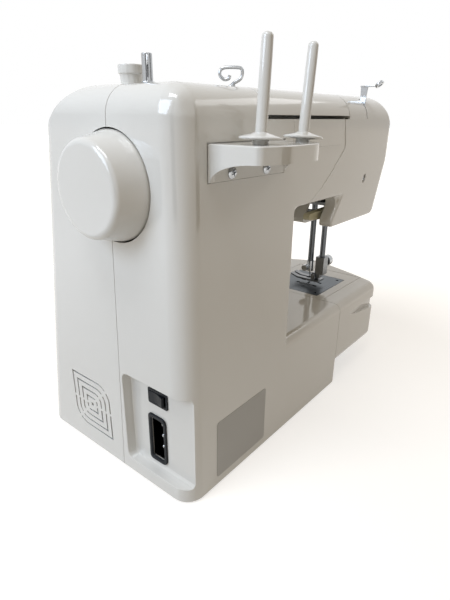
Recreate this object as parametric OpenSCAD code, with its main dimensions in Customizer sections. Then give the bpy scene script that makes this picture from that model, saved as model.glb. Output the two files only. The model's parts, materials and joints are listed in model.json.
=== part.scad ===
// Domestic free-arm sewing machine, standing on its feet, seen by its user from -Y.
// +X is the handwheel end, +Y the back, +Z up. All sizes are millimetres.
// Places are measured from the right end's face (x = 0), the back face (y = 0) and the
// table (z = 0), and at_origin() then moves each piece so that the origin is under the middle.

/* [Housing] */
// Height of the top of the arm
body_h = 290; // [280:1:300]
// Length of the arm, from the right end to the head's end
arm_len = 312; // [306:1:316]
// Width of the column
column_w = 125; // [122:1:128]
// Height of the top of the bed
bed_h = 93; // [92:0.5:94]
// Length of the fixed part of the bed, up to the free arm
base_len = 228; // [227:0.5:229]
// Underside of the arm
arm_z = 207; // [206:0.5:209]
// Underside of the head
head_z = 180; // [179.5:0.5:180.5]
// Depth of the body at the table
depth_foot = 185; // [183:1:187]
// Depth of the body at the top, where the sloping front would end
depth_top = 133; // [132:0.5:134]
// Wall thickness of the covers
wall = 2.5; // [2:0.1:2.8]
// Gap under the covers, filled by the feet
foot_gap = 2.5; // [2:0.1:3]
// Position of the joint between front and rear cover, at the top
seam_top = 60; // [59:0.5:62]
// Position of the same joint at the table
seam_foot = 75; // [74:0.5:76]

/* [Shafts] */
// Distance of the main shaft behind the front of the back face
shaft_y = -60; // [-60.5:0.5:-59.5]
// Height of the main shaft
shaft_z = 230; // [229.5:0.5:230.5]
// Radius of the main shaft
shaft_r = 5; // [4.5:0.5:5]
// Radius of the needle crank
crank_r = 15; // [14:0.5:15]
// Length between the eyes of the needle link
link_len = 22; // [21:0.5:22]
// Place of the needle along the arm
needle_x = -268; // [-268.5:0.5:-267.5]
// Place of the presser bar behind the needle
presser_y = -46; // [-46.5:0.5:-45.5]
// Lower shaft, distance from the back
lower_y = -44; // [-44.2:0.1:-43.8]
// Lower shaft, height
lower_z = 62; // [61.8:0.1:62.2]
// Running clearance between a shaft and its bore
run_gap = 0.05; // [0.03:0.01:0.08]

/* [Handwheel and motor] */
// Radius of the handwheel where it enters the covers
wheel_r = 34.6; // [34:0.1:34.8]
// Radius of the handwheel's outer face
wheel_face_r = 30.5; // [29:0.5:31]
// How far the handwheel stands out
wheel_out = 21; // [19:1:23]
// Motor axis, distance from the back
motor_y = -112; // [-113:1:-111]
// Motor axis, height
motor_z = 48; // [47:1:49]
// Radius of the motor's body
motor_r = 27; // [25:1:28]
// Radius of the pulley on the motor
motor_pulley_r = 7; // [7:0.5:7.5]
// Radius of the driven pulley on the main shaft
driven_pulley_r = 28; // [28:0.5:29]

/* [Thread stand] */
// How far the spool shelf stands out behind
shelf_out = 43; // [41:0.5:44]
// Top of the spool shelf
shelf_z = 257.5; // [257:0.5:258]
// Length of a spool pin above its disc
pin_len = 52; // [48:1:54]
// Radius of a spool pin
pin_r = 3.2; // [2.8:0.1:3.4]
// Radius of the disc under a spool
disc_r = 12.5; // [11:0.5:13]
// Lean of the right spool pin
lean_right = 3.5; // [0:0.5:4]
// Lean of the left spool pin
lean_left = 5.5; // [4:0.5:6]

/* [Controls] */
// Radius of the stitch selector dial
selector_r = 21; // [19:0.5:22]
// Radius of the stitch length dial
length_dial_r = 15; // [14:0.5:16]
// Radius of the tension dial
tension_r = 13; // [12:0.5:14]

/* [Hidden] */
$fn = 96;
SMALL_FN = 32;

// Middle of the part in plan, moved to the origin. Rounding keeps the nose and the front's
// foot a little inside their corner points.
nose_x = -360;
nose_round = 1.647;
front_round = 1.234;
origin_x = (wheel_out + nose_x + nose_round) / 2;
origin_y = (shelf_out - depth_foot + front_round) / 2;
front_tilt = atan2(depth_foot - depth_top, body_h);

ivory = [0.87, 0.87, 0.84];
steel = [0.62, 0.64, 0.67];
chrome_c = [0.8, 0.81, 0.83];
blue_steel = [0.42, 0.47, 0.55];
dark_steel = [0.3, 0.31, 0.33];
cast = [0.66, 0.67, 0.69];
black = [0.05, 0.05, 0.06];
cream = [0.86, 0.84, 0.7];

// The column's controls, the vent and the places on the end face.
control_x = -62;
selector_z = 152;
length_z = 212;
reverse_z = 112;
tension_x = -222;
tension_z = 248;
vent_y = -112;
vent_z = 44;
vent_half = 25;
pocket = [[-68, 1], [13, 92]];
pocket_d = 9;
socket_y = -40;
socket_z = 39.5;
switch_y = -38;
switch_z = 77.5;

// The carry handle's recess in the top of the arm.
handle_x = [-205, -81];
handle_y = -42;
handle_z = 272;
handle_pivot = [-35, 287];

// Narrower foot of each spool pin, in the shelf and the disc.
pin_foot_r = pin_r - 0.4;

// Thread guide over the head, in the rounding between back and top.
guide_x = [-240, -240];

// Bobbin winder's spindle on the arm's top.
winder = [-28, -53];

// The head's inner side at its foot and at the arm, and the lifter's slot in it.
head_x = [-184, -204];
slot_x = head_x[0] + 6;
slot_y = [-28.5, -12];
slot_z = 205;

// Bed: free arm, plate and hook.
free_arm_x = [-324, -base_len - 0.5];
free_arm_y = [-104, -22];
free_arm_z = 28;
plate_x = [-303, -236];
plate_y = [-92, -32];
plate_t = 1.6;
feed_rows = [needle_x - 6, needle_x + 6];
hook_r = 16.5;
cover_hinge = [-103, 37];

/* outline helpers */

// Arc that rounds vertex b between a and c; each vertex is [x, y, radius].
function arc_at(a, b, c, n) =
    let (p = [b.x, b.y], u = unit([a.x, a.y] - p), w = unit([c.x, c.y] - p),
         half = acos(max(-1, min(1, u * w))) / 2,
         mid = p + unit(u + w) * b.z / sin(half),
         from = p + u * b.z / tan(half) - mid, to = p + w * b.z / tan(half) - mid,
         a0 = atan2(from.y, from.x), a1 = atan2(to.y, to.x),
         turn = (a1 - a0 + 540) % 360 - 180)
    [for (k = [0:n]) mid + b.z * [cos(a0 + turn * k / n), sin(a0 + turn * k / n)]];

function unit(v) = v / norm(v);

// Closed outline with its vertices rounded.
function rounded(v, n = 8) = [
    for (i = [0:len(v) - 1])
        let (b = v[i])
        if (b.z == 0) [b.x, b.y]
        else each arc_at(v[(i + len(v) - 1) % len(v)], b, v[(i + 1) % len(v)], n)
];

// The same outline moved inwards by t; its vertices run anticlockwise.
function inset(v, t) = [
    for (i = [0:len(v) - 1])
        let (a = v[(i + len(v) - 1) % len(v)], b = v[i], c = v[(i + 1) % len(v)],
             e1 = unit([b.x - a.x, b.y - a.y]), e2 = unit([c.x - b.x, c.y - b.y]),
             n1 = [-e1.y, e1.x], n2 = [-e2.y, e2.x],
             p = [b.x, b.y] + (n1 + n2) * t / (1 + n1 * n2),
             bend = e1.x * e2.y - e1.y * e2.x)
        [p.x, p.y, b.z == 0 ? 0 : bend > 0 ? max(b.z - t, 0.3) : b.z + t]
];

module at_origin() translate([-origin_x, -origin_y, 0]) children();
module along_x(x0, x1) translate([x0, 0, 0]) rotate([90, 0, 90]) linear_extrude(x1 - x0) children();
module along_y(y0, y1) translate([0, y1, 0]) rotate([90, 0, 0]) linear_extrude(y1 - y0) children();
module along_z(z0, z1) translate([0, 0, z0]) linear_extrude(z1 - z0) children();
module rod_x(x0, x1, y, z, r) translate([x0, y, z]) rotate([0, 90, 0]) cylinder(h = x1 - x0, r = r);
module rod_y(y0, y1, x, z, r) translate([x, y1, z]) rotate([90, 0, 0]) cylinder(h = y1 - y0, r = r);
module rod_z(z0, z1, x, y, r) translate([x, y, z0]) cylinder(h = z1 - z0, r = r);
module block(x, y, z) translate([x[0], y[0], z[0]]) cube([x[1] - x[0], y[1] - y[0], z[1] - z[0]]);

// Frame with +Z along the sloping front's outward normal, at a height on the column's front.
module on_front(x, z) {
    y = -depth_foot + (depth_foot - depth_top) * z / body_h;
    translate([x, y, z]) rotate([90 - front_tilt, 0, 0]) children();
}

/* body outlines */

// Front view: column, arm, head and fixed bed. The head's inner side leans outwards.
body_outline = [
    [0, foot_gap, 2], [0, body_h, 18], [-arm_len, body_h, 46], [-arm_len, 236, 40],
    [-arm_len + 21, head_z, 24], [head_x[0], head_z, 5], [head_x[1], arm_z, 8],
    [-column_w, arm_z, 10], [-column_w, bed_h, 8], [-base_len, bed_h, 0],
    [-base_len, foot_gap, 6]
];

// End view: upright back, sloping front, large front-top radius.
side_outline = [
    [0, foot_gap, 3], [0, body_h, 20], [-depth_top, body_h, 48],
    [-depth_foot + 0.18 * foot_gap, foot_gap, 4]
];

// Solid bounded by both views, moved inwards by t.
module body_solid(t) intersection() {
    along_y(-depth_foot - 5, t == 0 ? 0 : -t) polygon(rounded(inset(body_outline, t)));
    along_x(-arm_len - 5, 0) polygon(rounded(inset(side_outline, t)));
}

// Hollows let into the outside, grown by g for the wall behind them.
module pocket_hollow(g) block([-pocket_d - g, 5], pocket[0] - [g, -g], pocket[1] + [-g, g]);
module handle_hollow(g) {
    block(handle_x + [-g, g], [handle_y - g, 5], [handle_z - 1.5 - g, body_h + 5]);
    block(handle_x + [-g, g], [handle_y - g, -6 + g], [handle_z - 7 - g, body_h + 5]);
}
module shelf_hollow() block([-105.5, -22.5], [-1.5, 5], [235, shelf_z + 0.5]);

module body_shell() difference() {
    body_solid(0);
    difference() {
        body_solid(wall);
        pocket_hollow(wall);
        handle_hollow(wall);
    }
    // open underneath, where the base plate goes
    block([-base_len + 6, -6], [-depth_foot + 8, -6], [0, foot_gap + wall + 1]);
    pocket_hollow(0);
    handle_hollow(0);
    shelf_hollow();
    // handwheel opening
    rod_x(-wall - 1, 5, shaft_y, shaft_z, wheel_r + 1);
    // way through to the free arm
    block([-base_len - 1, -base_len + wall + 1], [-98, -28], [34, 89.5]);
    // winder spindle, wire guide and head guide
    block([winder.x - 3.6, winder.x + 3.6], [-59, -49.2], [body_h - 5, body_h + 5]);
    rod_z(body_h - 5, body_h + 5, -32, -73, 2.6);
    rod_z(body_h - 5, body_h + 5, -72, -22, 1.2);
}

// Region in front of the joint between the covers.
module front_region(gap = 0) along_x(-arm_len - 10, 10) polygon([
    [-seam_foot - gap, -1], [-seam_top - gap, body_h + 1], [-250, body_h + 1], [-250, -1]
]);

/* housing */

module front_cover() color(ivory) at_origin() difference() {
    intersection() {
        body_shell();
        front_region(0.05);
    }
    vent_slots();
    // holes for the controls
    on_front(control_x, selector_z) cylinder(h = 30, r = 4, center = true);
    on_front(control_x, length_z) cylinder(h = 30, r = 4, center = true);
    on_front(tension_x, tension_z) cylinder(h = 60, r = 3.5, center = true);
    on_front(control_x, reverse_z) translate([-15, -11, -15]) cube([30, 15.5, 30]);
    // take-up lever slot
    block([-269.5, -260], [-170, -120], [206, 274]);
    // needle and presser opening under the head, and the lamp's window
    block([-286, -246], [-76, -20], [head_z - 1, head_z + wall + 1]);
    rod_z(head_z - 1, head_z + wall + 1, lamp_place.x, lamp_place.y, 10);
}

module rear_cover() color(ivory) at_origin() difference() {
    intersection() {
        body_shell();
        along_x(-arm_len - 10, 10) polygon([
            [-seam_foot + 0.05, -1], [-seam_top + 0.05, body_h + 1], [10, body_h + 1], [10, -1]
        ]);
    }
    // openings for the inlet and the switch in the pocket's floor
    block([-20, -5], [socket_y - 8.7, socket_y + 8.7], [socket_z - 20.2, socket_z + 20.2]);
    block([-20, -5], [switch_y - 9.7, switch_y + 9.7], [switch_z - 5.7, switch_z + 5.7]);
    // lifter slot and the open underside of the head
    block([-225, slot_x], slot_y, [head_z - 1, slot_z]);
    block([-286, -246], [-76, -20], [head_z - 1, head_z + wall + 1]);
    block([-286, slot_x], slot_y, [head_z - 1, head_z + wall + 1]);
    // screw holes
    for (p = screw_places) rod_y(-6, 5, p.x, p.y, 1.7);
    rod_y(-2.4, 5, screw_places[2].x, screw_places[2].y, 5);
    // slot for the head's thread guide
    block(guide_x + [-1.2, 1.2], [-10, 2], [270, body_h + 5]);
    // holes for the handle's pivot pins
    rod_x(handle_x[0] - 4, handle_x[1] + 4, handle_pivot.x, handle_pivot.y, 1.5);
}

// One quarter-turn of the vent: nested angle slots around a small square, cut in the end wall.
module vent_slots() for (turn = [0, 180]) for (k = [1:4])
    translate([0, vent_y, vent_z]) rotate([turn, 0, 0]) {
        s = vent_half * (k + 0.5) / 4.5;
        block([-6, 2], [-s, s - 5], [s - 2.2, s]);
        block([-6, 2], [-s, -s + 2.2], [-s + 5, s - 1]);
    }

module base_plate() color(dark_steel) at_origin() difference() {
    block([-base_len + 6.3, -6.3], [-depth_foot + 8.3, -6.3], [foot_gap + 0.2, foot_gap + wall]);
    for (p = foot_places) rod_z(0, 9, p.x, p.y, 2.5);
}

foot_places = [[-18, -18], [-18, -160], [-210, -18], [-210, -160]];

module rubber_feet() color(black) at_origin() for (p = foot_places) {
    rod_z(0, foot_gap + 0.2, p.x, p.y, 8);
    rod_z(foot_gap + 0.2, foot_gap + wall, p.x, p.y, 2.5);
}

// Screws in the back: two hold the spool shelf, one sits deep in the head.
screw_places = [[-43, 240, 2], [-80, 240, 2], [-249, 218, -2]];
module back_screws() color(chrome_c) at_origin() for (p = screw_places) {
    rod_y(p.z - 12, p.z, p.x, p.y, 1.7);
    rod_y(p.z - (p.z < 0 ? 0.4 : 0), p.z + 1.8, p.x, p.y, 3.8);
}

// Cast C-shaped frame with two ears on each shaft.
frame_y = [-26, -20];
upper_ears = [[-46, -34], [-236, -222]];
lower_ears = [[-102, -92], [-220, -208]];
frame_outline = [
    [-40, foot_gap + wall, 0], [-40, 215, 12], [-30, 215, 0], [-30, 258, 8], [-296, 258, 12],
    [-296, 212, 12], [-118, 212, 10], [-118, 80, 10], [-222, 80, 6], [-222, foot_gap + wall, 0]
];

module frame() color(cast) at_origin() difference() {
    union() {
        along_y(frame_y[0], frame_y[1]) polygon(rounded(frame_outline, 6));
        for (e = upper_ears) block(e, [shaft_y - 14, frame_y[0]], [shaft_z - 14, shaft_z + 14]);
        for (e = lower_ears) block(e, [lower_y - 11, frame_y[0]], [lower_z - 10, lower_z + 10]);
        block([-110, -50], [-80, frame_y[0]], [foot_gap + wall, foot_gap + wall + 5]);
    }
    rod_x(-260, 0, shaft_y, shaft_z, 9);
    rod_x(-240, 0, lower_y, lower_z, 6.5);
}

/* bed */

// Needle plate's opening and its feed and needle slots.
module plate_slots() {
    for (x = feed_rows) block([x - 1.6, x + 1.6], [-73, -47], [80, 100]);
    block([needle_x - 3.2, needle_x + 3.2], [shaft_y - 1, shaft_y + 1], [80, 100]);
}

module free_arm_cover() color(ivory) at_origin() difference() {
    block(free_arm_x, free_arm_y, [free_arm_z, bed_h]);
    block(free_arm_x + [wall, 1], free_arm_y + [wall, -wall], [free_arm_z + wall, bed_h - wall]);
    block(plate_x, plate_y, [bed_h - plate_t, bed_h + 1]);
    block(plate_x + [4, -4], plate_y + [4, -4], [bed_h - wall - 1, bed_h + 1]);
    // front opening, closed by the shuttle cover
    block([-300, -236], [free_arm_y[0] - 1, free_arm_y[0] + wall + 1], [34, 86]);
}

module shuttle_cover() color(ivory) at_origin() {
    block([-299.5, -236.5], [free_arm_y[0], free_arm_y[0] + 2], [cover_hinge[1], 85.5]);
    rod_x(-299.5, -236.5, cover_hinge[0], cover_hinge[1], 1);
}

// Plan of the bed's end, with a bulging nose.
table_plan = [
    [-base_len - 0.5, 0, 0], [-323, 0, 6], [-338, -35, 50], [nose_x, -95, 22],
    [-322, -depth_foot, 40], [-base_len - 0.5, -depth_foot, 0]
];
// End view of the table: flush with the body in front.
table_side = [
    [0, 25, 10], [0, bed_h, 2.5], [-depth_foot + (depth_foot - depth_top) * bed_h / body_h, bed_h, 5],
    [-depth_foot + (depth_foot - depth_top) * 25 / body_h, 25, 10]
];
table_front = [
    [-200, 25, 0], [-200, bed_h, 0], [nose_x, bed_h, 4], [nose_x + 9, 25, 12]
];

module table_solid(t) intersection() {
    along_z(20, 100) polygon(rounded([for (p = inset(table_plan, t))
        [p.x < -230 ? p.x : -base_len - 0.5 + (t > 0 ? 1 : 0), p.y, p.z]]));
    along_x(-370, -base_len + 2) polygon(rounded(inset(table_side, t)));
    along_y(-depth_foot - 10, 10) polygon(rounded(inset(table_front, t)));
}

// Removable extension table around the free arm: top, bottom and outer walls, open to the arm.
module extension_table() color(ivory) at_origin() difference() {
    table_solid(0);
    table_solid(wall);
    block([free_arm_x[0] - 0.5, -base_len + 1], free_arm_y + [-0.5, 0.5], [0, 100]);
    // finger groove in the back of the nose
    along_y(-7, 5) polygon([[-262, 75], [-345, 78], [-345, 64], [-318, 66]]);
}

module needle_plate() color(blue_steel) at_origin() difference() {
    block(plate_x + [0.1, -0.1], plate_y + [0.1, -0.1], [bed_h - plate_t, bed_h]);
    plate_slots();
    for (x = [plate_x[0] + 7, plate_x[1] - 7]) rod_z(80, 100, x, plate_y[1] - 6, 1.6);
}

module feed_dog() color(steel) at_origin() {
    for (x = feed_rows) {
        block([x - 1.1, x + 1.1], [-68, -52], [84, bed_h - 0.6]);
        for (k = [0:7]) translate([x - 1.1, -68 + 2 * k, bed_h - 0.6])
            rotate([90, 0, 90]) linear_extrude(2.2) polygon([[0, 0], [2, 0], [0.4, 1.4]]);
    }
    block([feed_rows[0] - 1.1, -130], [-52, -45], [84, 88]);
}

module hook_bracket() color(cast) at_origin() difference() {
    block([needle_x - 22, needle_x + 22], [-63, -57], [free_arm_z + wall, 76]);
    rod_y(-70, -50, needle_x, lower_z, 3 + run_gap);
}

// Ring that guides the hook; the bobbin case's rim lies on its front.
module hook_race() color(steel) at_origin() difference() {
    rod_y(-82, -63, needle_x, lower_z, hook_r + 3.5);
    rod_y(-83, -62, needle_x, lower_z, hook_r + 0.5);
}

module shuttle_hook() color(chrome_c) at_origin() {
    difference() {
        rod_y(-80, -64, needle_x, lower_z, hook_r);
        rod_y(-81, -66.5, needle_x, lower_z, hook_r - 2.5);
        block([needle_x - 4, needle_x + 4], [-82, -68], [lower_z + 10, 90]);
    }
    rod_y(-64, -53, needle_x, lower_z, 3);
    // bevel pinion on the hook's shaft; its cone points at the crossing of the two shafts
    translate([needle_x, lower_y - 7.8, lower_z]) rotate([-90, 0, 0])
        cylinder(h = 4.4, r1 = 3.9, r2 = 1.7);
    rod_y(-54, lower_y - 7.8, needle_x, lower_z, 3.9);
}

module bobbin_case() color(steel) at_origin() {
    difference() {
        rod_y(-84, -68, needle_x, lower_z, hook_r - 3.5);
        rod_y(-82, -67, needle_x, lower_z, hook_r - 4.7);
    }
    difference() {
        rod_y(-84, -82, needle_x, lower_z, hook_r + 2.5);
        rod_y(-85, -81, needle_x, lower_z, hook_r - 5);
    }
    rod_y(-82, -70, needle_x, lower_z, 2.5);
}

module bobbin() color([0.75, 0.8, 0.85]) at_origin() difference() {
    union() {
        for (y = [-81.4, -71.8]) rod_y(y, y + 1.2, needle_x, lower_z, 10.5);
        rod_y(-81, -71, needle_x, lower_z, 4.2);
    }
    rod_y(-85, -69, needle_x, lower_z, 2.5 + run_gap);
}

/* main shaft train */

module main_shaft() color(steel) at_origin() rod_x(-244, 8, shaft_y, shaft_z, shaft_r);

module shaft_bushings() color([0.72, 0.6, 0.38]) at_origin() for (e = upper_ears) difference() {
    rod_x(e[0], e[1], shaft_y, shaft_z, 9);
    rod_x(e[0] - 1, e[1] + 1, shaft_y, shaft_z, shaft_r + run_gap);
}

// Handwheel: a cone with a rounded rim, turned as one section around the shaft.
module handwheel() color(ivory) at_origin() translate([0, shaft_y, shaft_z]) rotate([0, 90, 0])
    rotate_extrude() polygon(concat(
        [[0, 8], [shaft_r, 8], [shaft_r, -8], [15, -8], [15, -4], [wheel_r, -4], [wheel_r, 1]],
        [for (a = [0:15:90]) [wheel_face_r - 4 + 4 * cos(a), wheel_out - 4 + 4 * sin(a)]],
        [[0, wheel_out]]
    ));

module driven_pulley() color(dark_steel) at_origin() difference() {
    union() {
        rod_x(-26, -14, shaft_y, shaft_z, driven_pulley_r);
        for (x = [-26, -15.5]) rod_x(x, x + 1.5, shaft_y, shaft_z, driven_pulley_r + 2);
        // toothed pulley for the lower shaft's belt, further along the shaft
        rod_x(-113, -103, shaft_y, shaft_z, 12);
    }
    rod_x(-120, 0, shaft_y, shaft_z, shaft_r);
}

module crank_disc() color(dark_steel) at_origin() {
    rod_x(-252, -244, shaft_y, shaft_z, 12);
    rod_x(-252, -244, shaft_y, shaft_z - crank_r, 8);
    intersection() {
        rod_x(-252, -244, shaft_y, shaft_z, 22);
        block([-252, -244], [shaft_y - 20, shaft_y + 20], [shaft_z + 2, shaft_z + 22]);
    }
    rod_x(-261.1, -252, shaft_y, shaft_z - crank_r, 4);
}

module needle_link() color(steel) at_origin() difference() {
    along_x(-260, -253) union() {
        for (z = [0, -link_len]) translate([shaft_y, shaft_z - crank_r + z]) circle(r = 7);
        translate([shaft_y - 4, shaft_z - crank_r - link_len]) square([8, link_len]);
    }
    rod_x(-265, -250, shaft_y, shaft_z - crank_r, 4 + run_gap);
    rod_x(-265, -250, shaft_y, shaft_z - crank_r - link_len, 4.3);
}

take_up_pivot = [-100, 224];
module take_up_lever() color(chrome_c) at_origin() difference() {
    along_x(-266, -263) {
        translate(take_up_pivot) circle(r = 7);
        polygon([[-98, 230.5], [-146, 251], [-152, 256], [-156, 252], [-150, 246], [-102, 217.5]]);
        translate([-154, 254]) circle(r = 4);
    }
    rod_x(-270, -260, take_up_pivot.x, take_up_pivot.y, 3 + run_gap);
    rod_x(-270, -260, -154, 254, 1.6);
}

/* needle and presser */

bar_low = 120;
collar_z = shaft_z - crank_r - link_len;
module needle_bar() color(dark_steel) at_origin() {
    rod_z(bar_low, 254, needle_x, shaft_y, 3.2);
    difference() {
        rod_z(collar_z - 4.2, collar_z + 5, needle_x, shaft_y, 6);
        rod_z(collar_z - 5, collar_z + 6, needle_x, shaft_y, 3.1);
    }
    rod_x(-265, -261.5, shaft_y, collar_z, 3);
}

module needle_clamp() color(chrome_c) at_origin() difference() {
    union() {
        rod_z(108, bar_low, needle_x, shaft_y, 4);
        rod_x(needle_x + 3, needle_x + 12, shaft_y, 114, 1.5);
        rod_x(needle_x + 9, needle_x + 14, shaft_y, 114, 3.4);
    }
    rod_z(107, 117, needle_x, shaft_y, 0.9);
}

module needle() color(chrome_c) at_origin() {
    rod_z(104, 117, needle_x, shaft_y, 0.9);
    rod_z(84, 104, needle_x, shaft_y, 0.4);
    translate([needle_x, shaft_y, 80]) cylinder(h = 4, r1 = 0.1, r2 = 0.4);
}

// Plate with two lugs that guide the needle bar and the presser bar.
module needle_bar_frame() color(cast) at_origin() difference() {
    union() {
        block([-281, -275.5], [-70, frame_y[0]], [185, 250]);
        for (z = [[184.5, 188], [235, 244]]) block([-281, -262.5], [-67, -39], z);
        // pin that carries the take-up lever
        block([-281, -275.5], [-104, -70], [216, 232]);
        rod_x(-276, -266.5, take_up_pivot.x, take_up_pivot.y, 6);
        rod_x(-266.5, -261, take_up_pivot.x, take_up_pivot.y, 3);
        // pin that carries the presser lifter
        block([-281, -275.5], [frame_y[0] - 2, -12], [185, 211]);
        block([-281, -250], [-15.5, -12], [185, 198]);
        rod_y(-35, -13, lifter_pivot.x, lifter_pivot.y, 2.5);
    }
    rod_z(170, 260, needle_x, shaft_y, 3.2 + run_gap);
    rod_z(170, 260, needle_x, presser_y, 3 + run_gap);
}

module presser_bar() color(dark_steel) at_origin() {
    rod_z(113, 262, needle_x, presser_y, 3);
    difference() {
        rod_z(198, 204, needle_x, presser_y, 5.5);
        rod_z(197, 205, needle_x, presser_y, 2.9);
    }
}

module presser_spring() color(steel) at_origin() difference() {
    rod_z(204, 235, needle_x, presser_y, 5);
    rod_z(203, 236, needle_x, presser_y, 3.5);
}

foot_pivot = [-53, 104];
module foot_holder() color(steel) at_origin() difference() {
    union() {
        block([needle_x - 5, needle_x + 5], [-51, -41], [107, 127]);
        block([needle_x - 3, needle_x + 3], [-55.3, -46], [102, 107]);
        block([needle_x - 3, needle_x + 3], [-51, -46], [106, 108]);
    }
    rod_z(113, 130, needle_x, presser_y, 3);
    rod_x(-290, -250, foot_pivot.x, foot_pivot.y, 1.1);
    rod_x(-290, needle_x, presser_y, 120, 2);
}

module foot_screw() color(chrome_c) at_origin() {
    rod_x(needle_x - 10, needle_x - 3, presser_y, 120, 2);
    rod_x(needle_x - 16, needle_x - 9, presser_y, 120, 6);
}

module foot_sole() color(steel) at_origin() {
    difference() {
        union() {
            block([needle_x - 7, needle_x + 7], [-72, -45], [98, 100]);
            for (x = [-7, 1.5]) translate([needle_x + x, -72, 98]) rotate([90, 0, 90])
                linear_extrude(5.5) polygon([[0, 0], [0, 2], [-9, 4.5], [-9, 3]]);
            for (x = [-6, 3.4]) block([needle_x + x, needle_x + x + 2.6], [-55.4, -50.6], [99, 106]);
        }
        block([needle_x - 3.6, needle_x + 3.6], [-62, -58], [97, 101]);
        block([needle_x - 1.5, needle_x + 1.5], [-73, -60], [97, 101]);
    }
    rod_x(needle_x - 5, needle_x + 5, foot_pivot.x, foot_pivot.y, 1.05);
}

lifter_pivot = [-256, 191];
module lifter_arm() polygon(rounded([
    [-262, 186, 2], [-212, 183, 3], [-177, 186.5, 2.4], [-176, 192, 2.4], [-212, 193, 4],
    [-250, 197, 4], [-262, 196, 2]
], 4));
module presser_lifter() color(cream) at_origin() difference() {
    union() {
        along_y(-22, -16) lifter_arm();
        rod_y(-34, -16, lifter_pivot.x, lifter_pivot.y, 5.5);
        // cam arm under the presser bar's collar
        block([needle_x - 1, lifter_pivot.x], [-37, -33], [188.5, 193.5]);
    }
    rod_y(-45, 0, lifter_pivot.x, lifter_pivot.y, 2.5 + run_gap);
}

module thread_cutter() color(chrome_c) at_origin() {
    block([-arm_len - 1.2, -arm_len], [-80, -64], [240, 247]);
    block([-arm_len - 2.6, -arm_len - 1.2], [-82, -62], [239, 248]);
}

lamp_place = [-222, -112];
module lamp() color([0.95, 0.93, 0.85]) at_origin() {
    rod_z(191, 206, lamp_place.x, lamp_place.y, 6);
    translate([lamp_place.x, lamp_place.y, 191]) sphere(r = 6);
    rod_z(206, 222, lamp_place.x, lamp_place.y, 7.5);
}

/* lower shaft train */

module lower_shaft() color(steel) at_origin() {
    rod_x(-259, -100, lower_y, lower_z, 4);
    // bevel gear towards the hook, twice the pinion's size
    rod_x(needle_x + 4.2, -256, lower_y, lower_z, 7.8);
    translate([needle_x + 3, lower_y, lower_z]) rotate([0, 90, 0])
        cylinder(h = 1.2, r1 = 5.4, r2 = 7.8);
    rod_x(-113, -103, lower_y, lower_z, 12);
}

module lower_bushings() color([0.72, 0.6, 0.38]) at_origin() for (e = lower_ears) difference() {
    rod_x(e[0], e[1], lower_y, lower_z, 6.5);
    rod_x(e[0] - 1, e[1] + 1, lower_y, lower_z, 4 + run_gap);
}

// Closed loop of belt around two pulleys, each given as [y, z, r].
module belt_loop(a, b, t) {
    d = norm([b.x - a.x, b.y - a.y]);
    dir = atan2(b.y - a.y, b.x - a.x);
    lean = acos((a.z - b.z) / d);
    function rim(c, g, from, to) = [for (k = [0:12]) [c.x, c.y]
        + (c.z + g) * [cos(from + (to - from) * k / 12), sin(from + (to - from) * k / 12)]];
    function loop(g) = concat(rim(b, g, dir - lean, dir + lean), rim(a, g, dir + lean, dir + 360 - lean));
    difference() {
        polygon(loop(0.4 + t));
        polygon(loop(0.4));
    }
}

module timing_belt() color(black) at_origin() along_x(-112, -104)
    belt_loop([shaft_y, shaft_z, 12], [lower_y, lower_z, 12], 1.6);

module motor_belt() color(black) at_origin() along_x(-23, -17)
    belt_loop([shaft_y, shaft_z, driven_pulley_r], [motor_y, motor_z, motor_pulley_r], 2);

module motor() color(black) at_origin() difference() {
    union() {
        rod_x(-95, -32, motor_y, motor_z, motor_r);
        rod_x(-99, -28, motor_y, motor_z, 9);
        block([-85, -42], [motor_y - 24, motor_y + 24], [foot_gap + wall, 34]);
    }
    rod_x(-110, 0, motor_y, motor_z, 4 + run_gap);
}

module motor_rotor() color(steel) at_origin() {
    rod_x(-101, -12, motor_y, motor_z, 4);
    rod_x(-26, -14, motor_y, motor_z, motor_pulley_r);
}

/* controls */

// Dial on the sloping front: grip ring, face and stem.
module dial(r, h, stem_r) {
    translate([0, 0, 0.6]) cylinder(h = h * 0.4, r = r);
    translate([0, 0, 0.6]) cylinder(h = h, r = r * 0.82);
    translate([0, 0, -12]) cylinder(h = 13, r = stem_r);
}

module selector_dial() color(ivory) at_origin() on_front(control_x, selector_z) {
    dial(selector_r, 13, 3.6);
    translate([-2, -selector_r + 1, 9]) cube([4, 2 * selector_r - 2, 6.5]);
}

module length_dial() color(ivory) at_origin() on_front(control_x, length_z) {
    dial(length_dial_r, 12, 3.6);
    translate([-1.5, -length_dial_r + 1, 8]) cube([3, 2 * length_dial_r - 2, 6.5]);
}

module tension_dial() color(ivory) at_origin() on_front(tension_x, tension_z) dial(tension_r, 10, 3.2);

module reverse_lever() color(ivory) at_origin() on_front(control_x, reverse_z) difference() {
    union() {
        translate([-13, -3.5, -14]) cube([26, 7, 24]);
        rotate([0, 90, 0]) translate([14, 0, -13]) cylinder(h = 26, r = 3.5);
    }
    rotate([0, 90, 0]) translate([14, 0, 0]) cylinder(h = 40, r = 1.5, center = true);
}

/* top and back fittings */

// Slide under the arm's top that carries the winder's spindle towards the stop.
module winder_carriage() color(dark_steel) at_origin() difference() {
    block([winder.x - 12, winder.x + 12], [winder.y - 4, winder.y + 12], [272, 282]);
    rod_z(260, 290, winder.x, winder.y, 2.5 + run_gap);
}

// Spindle with a friction tyre at its foot and a collar that the bobbin rests on.
module winder_spindle() color(chrome_c) at_origin() {
    rod_z(262.5, 270, winder.x, winder.y, 8);
    rod_z(268, 291, winder.x, winder.y, 2.5);
    rod_z(290.5, 291.5, winder.x, winder.y, 3.9);
    rod_z(291.5, 307, winder.x, winder.y, 3.2);
}

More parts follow.
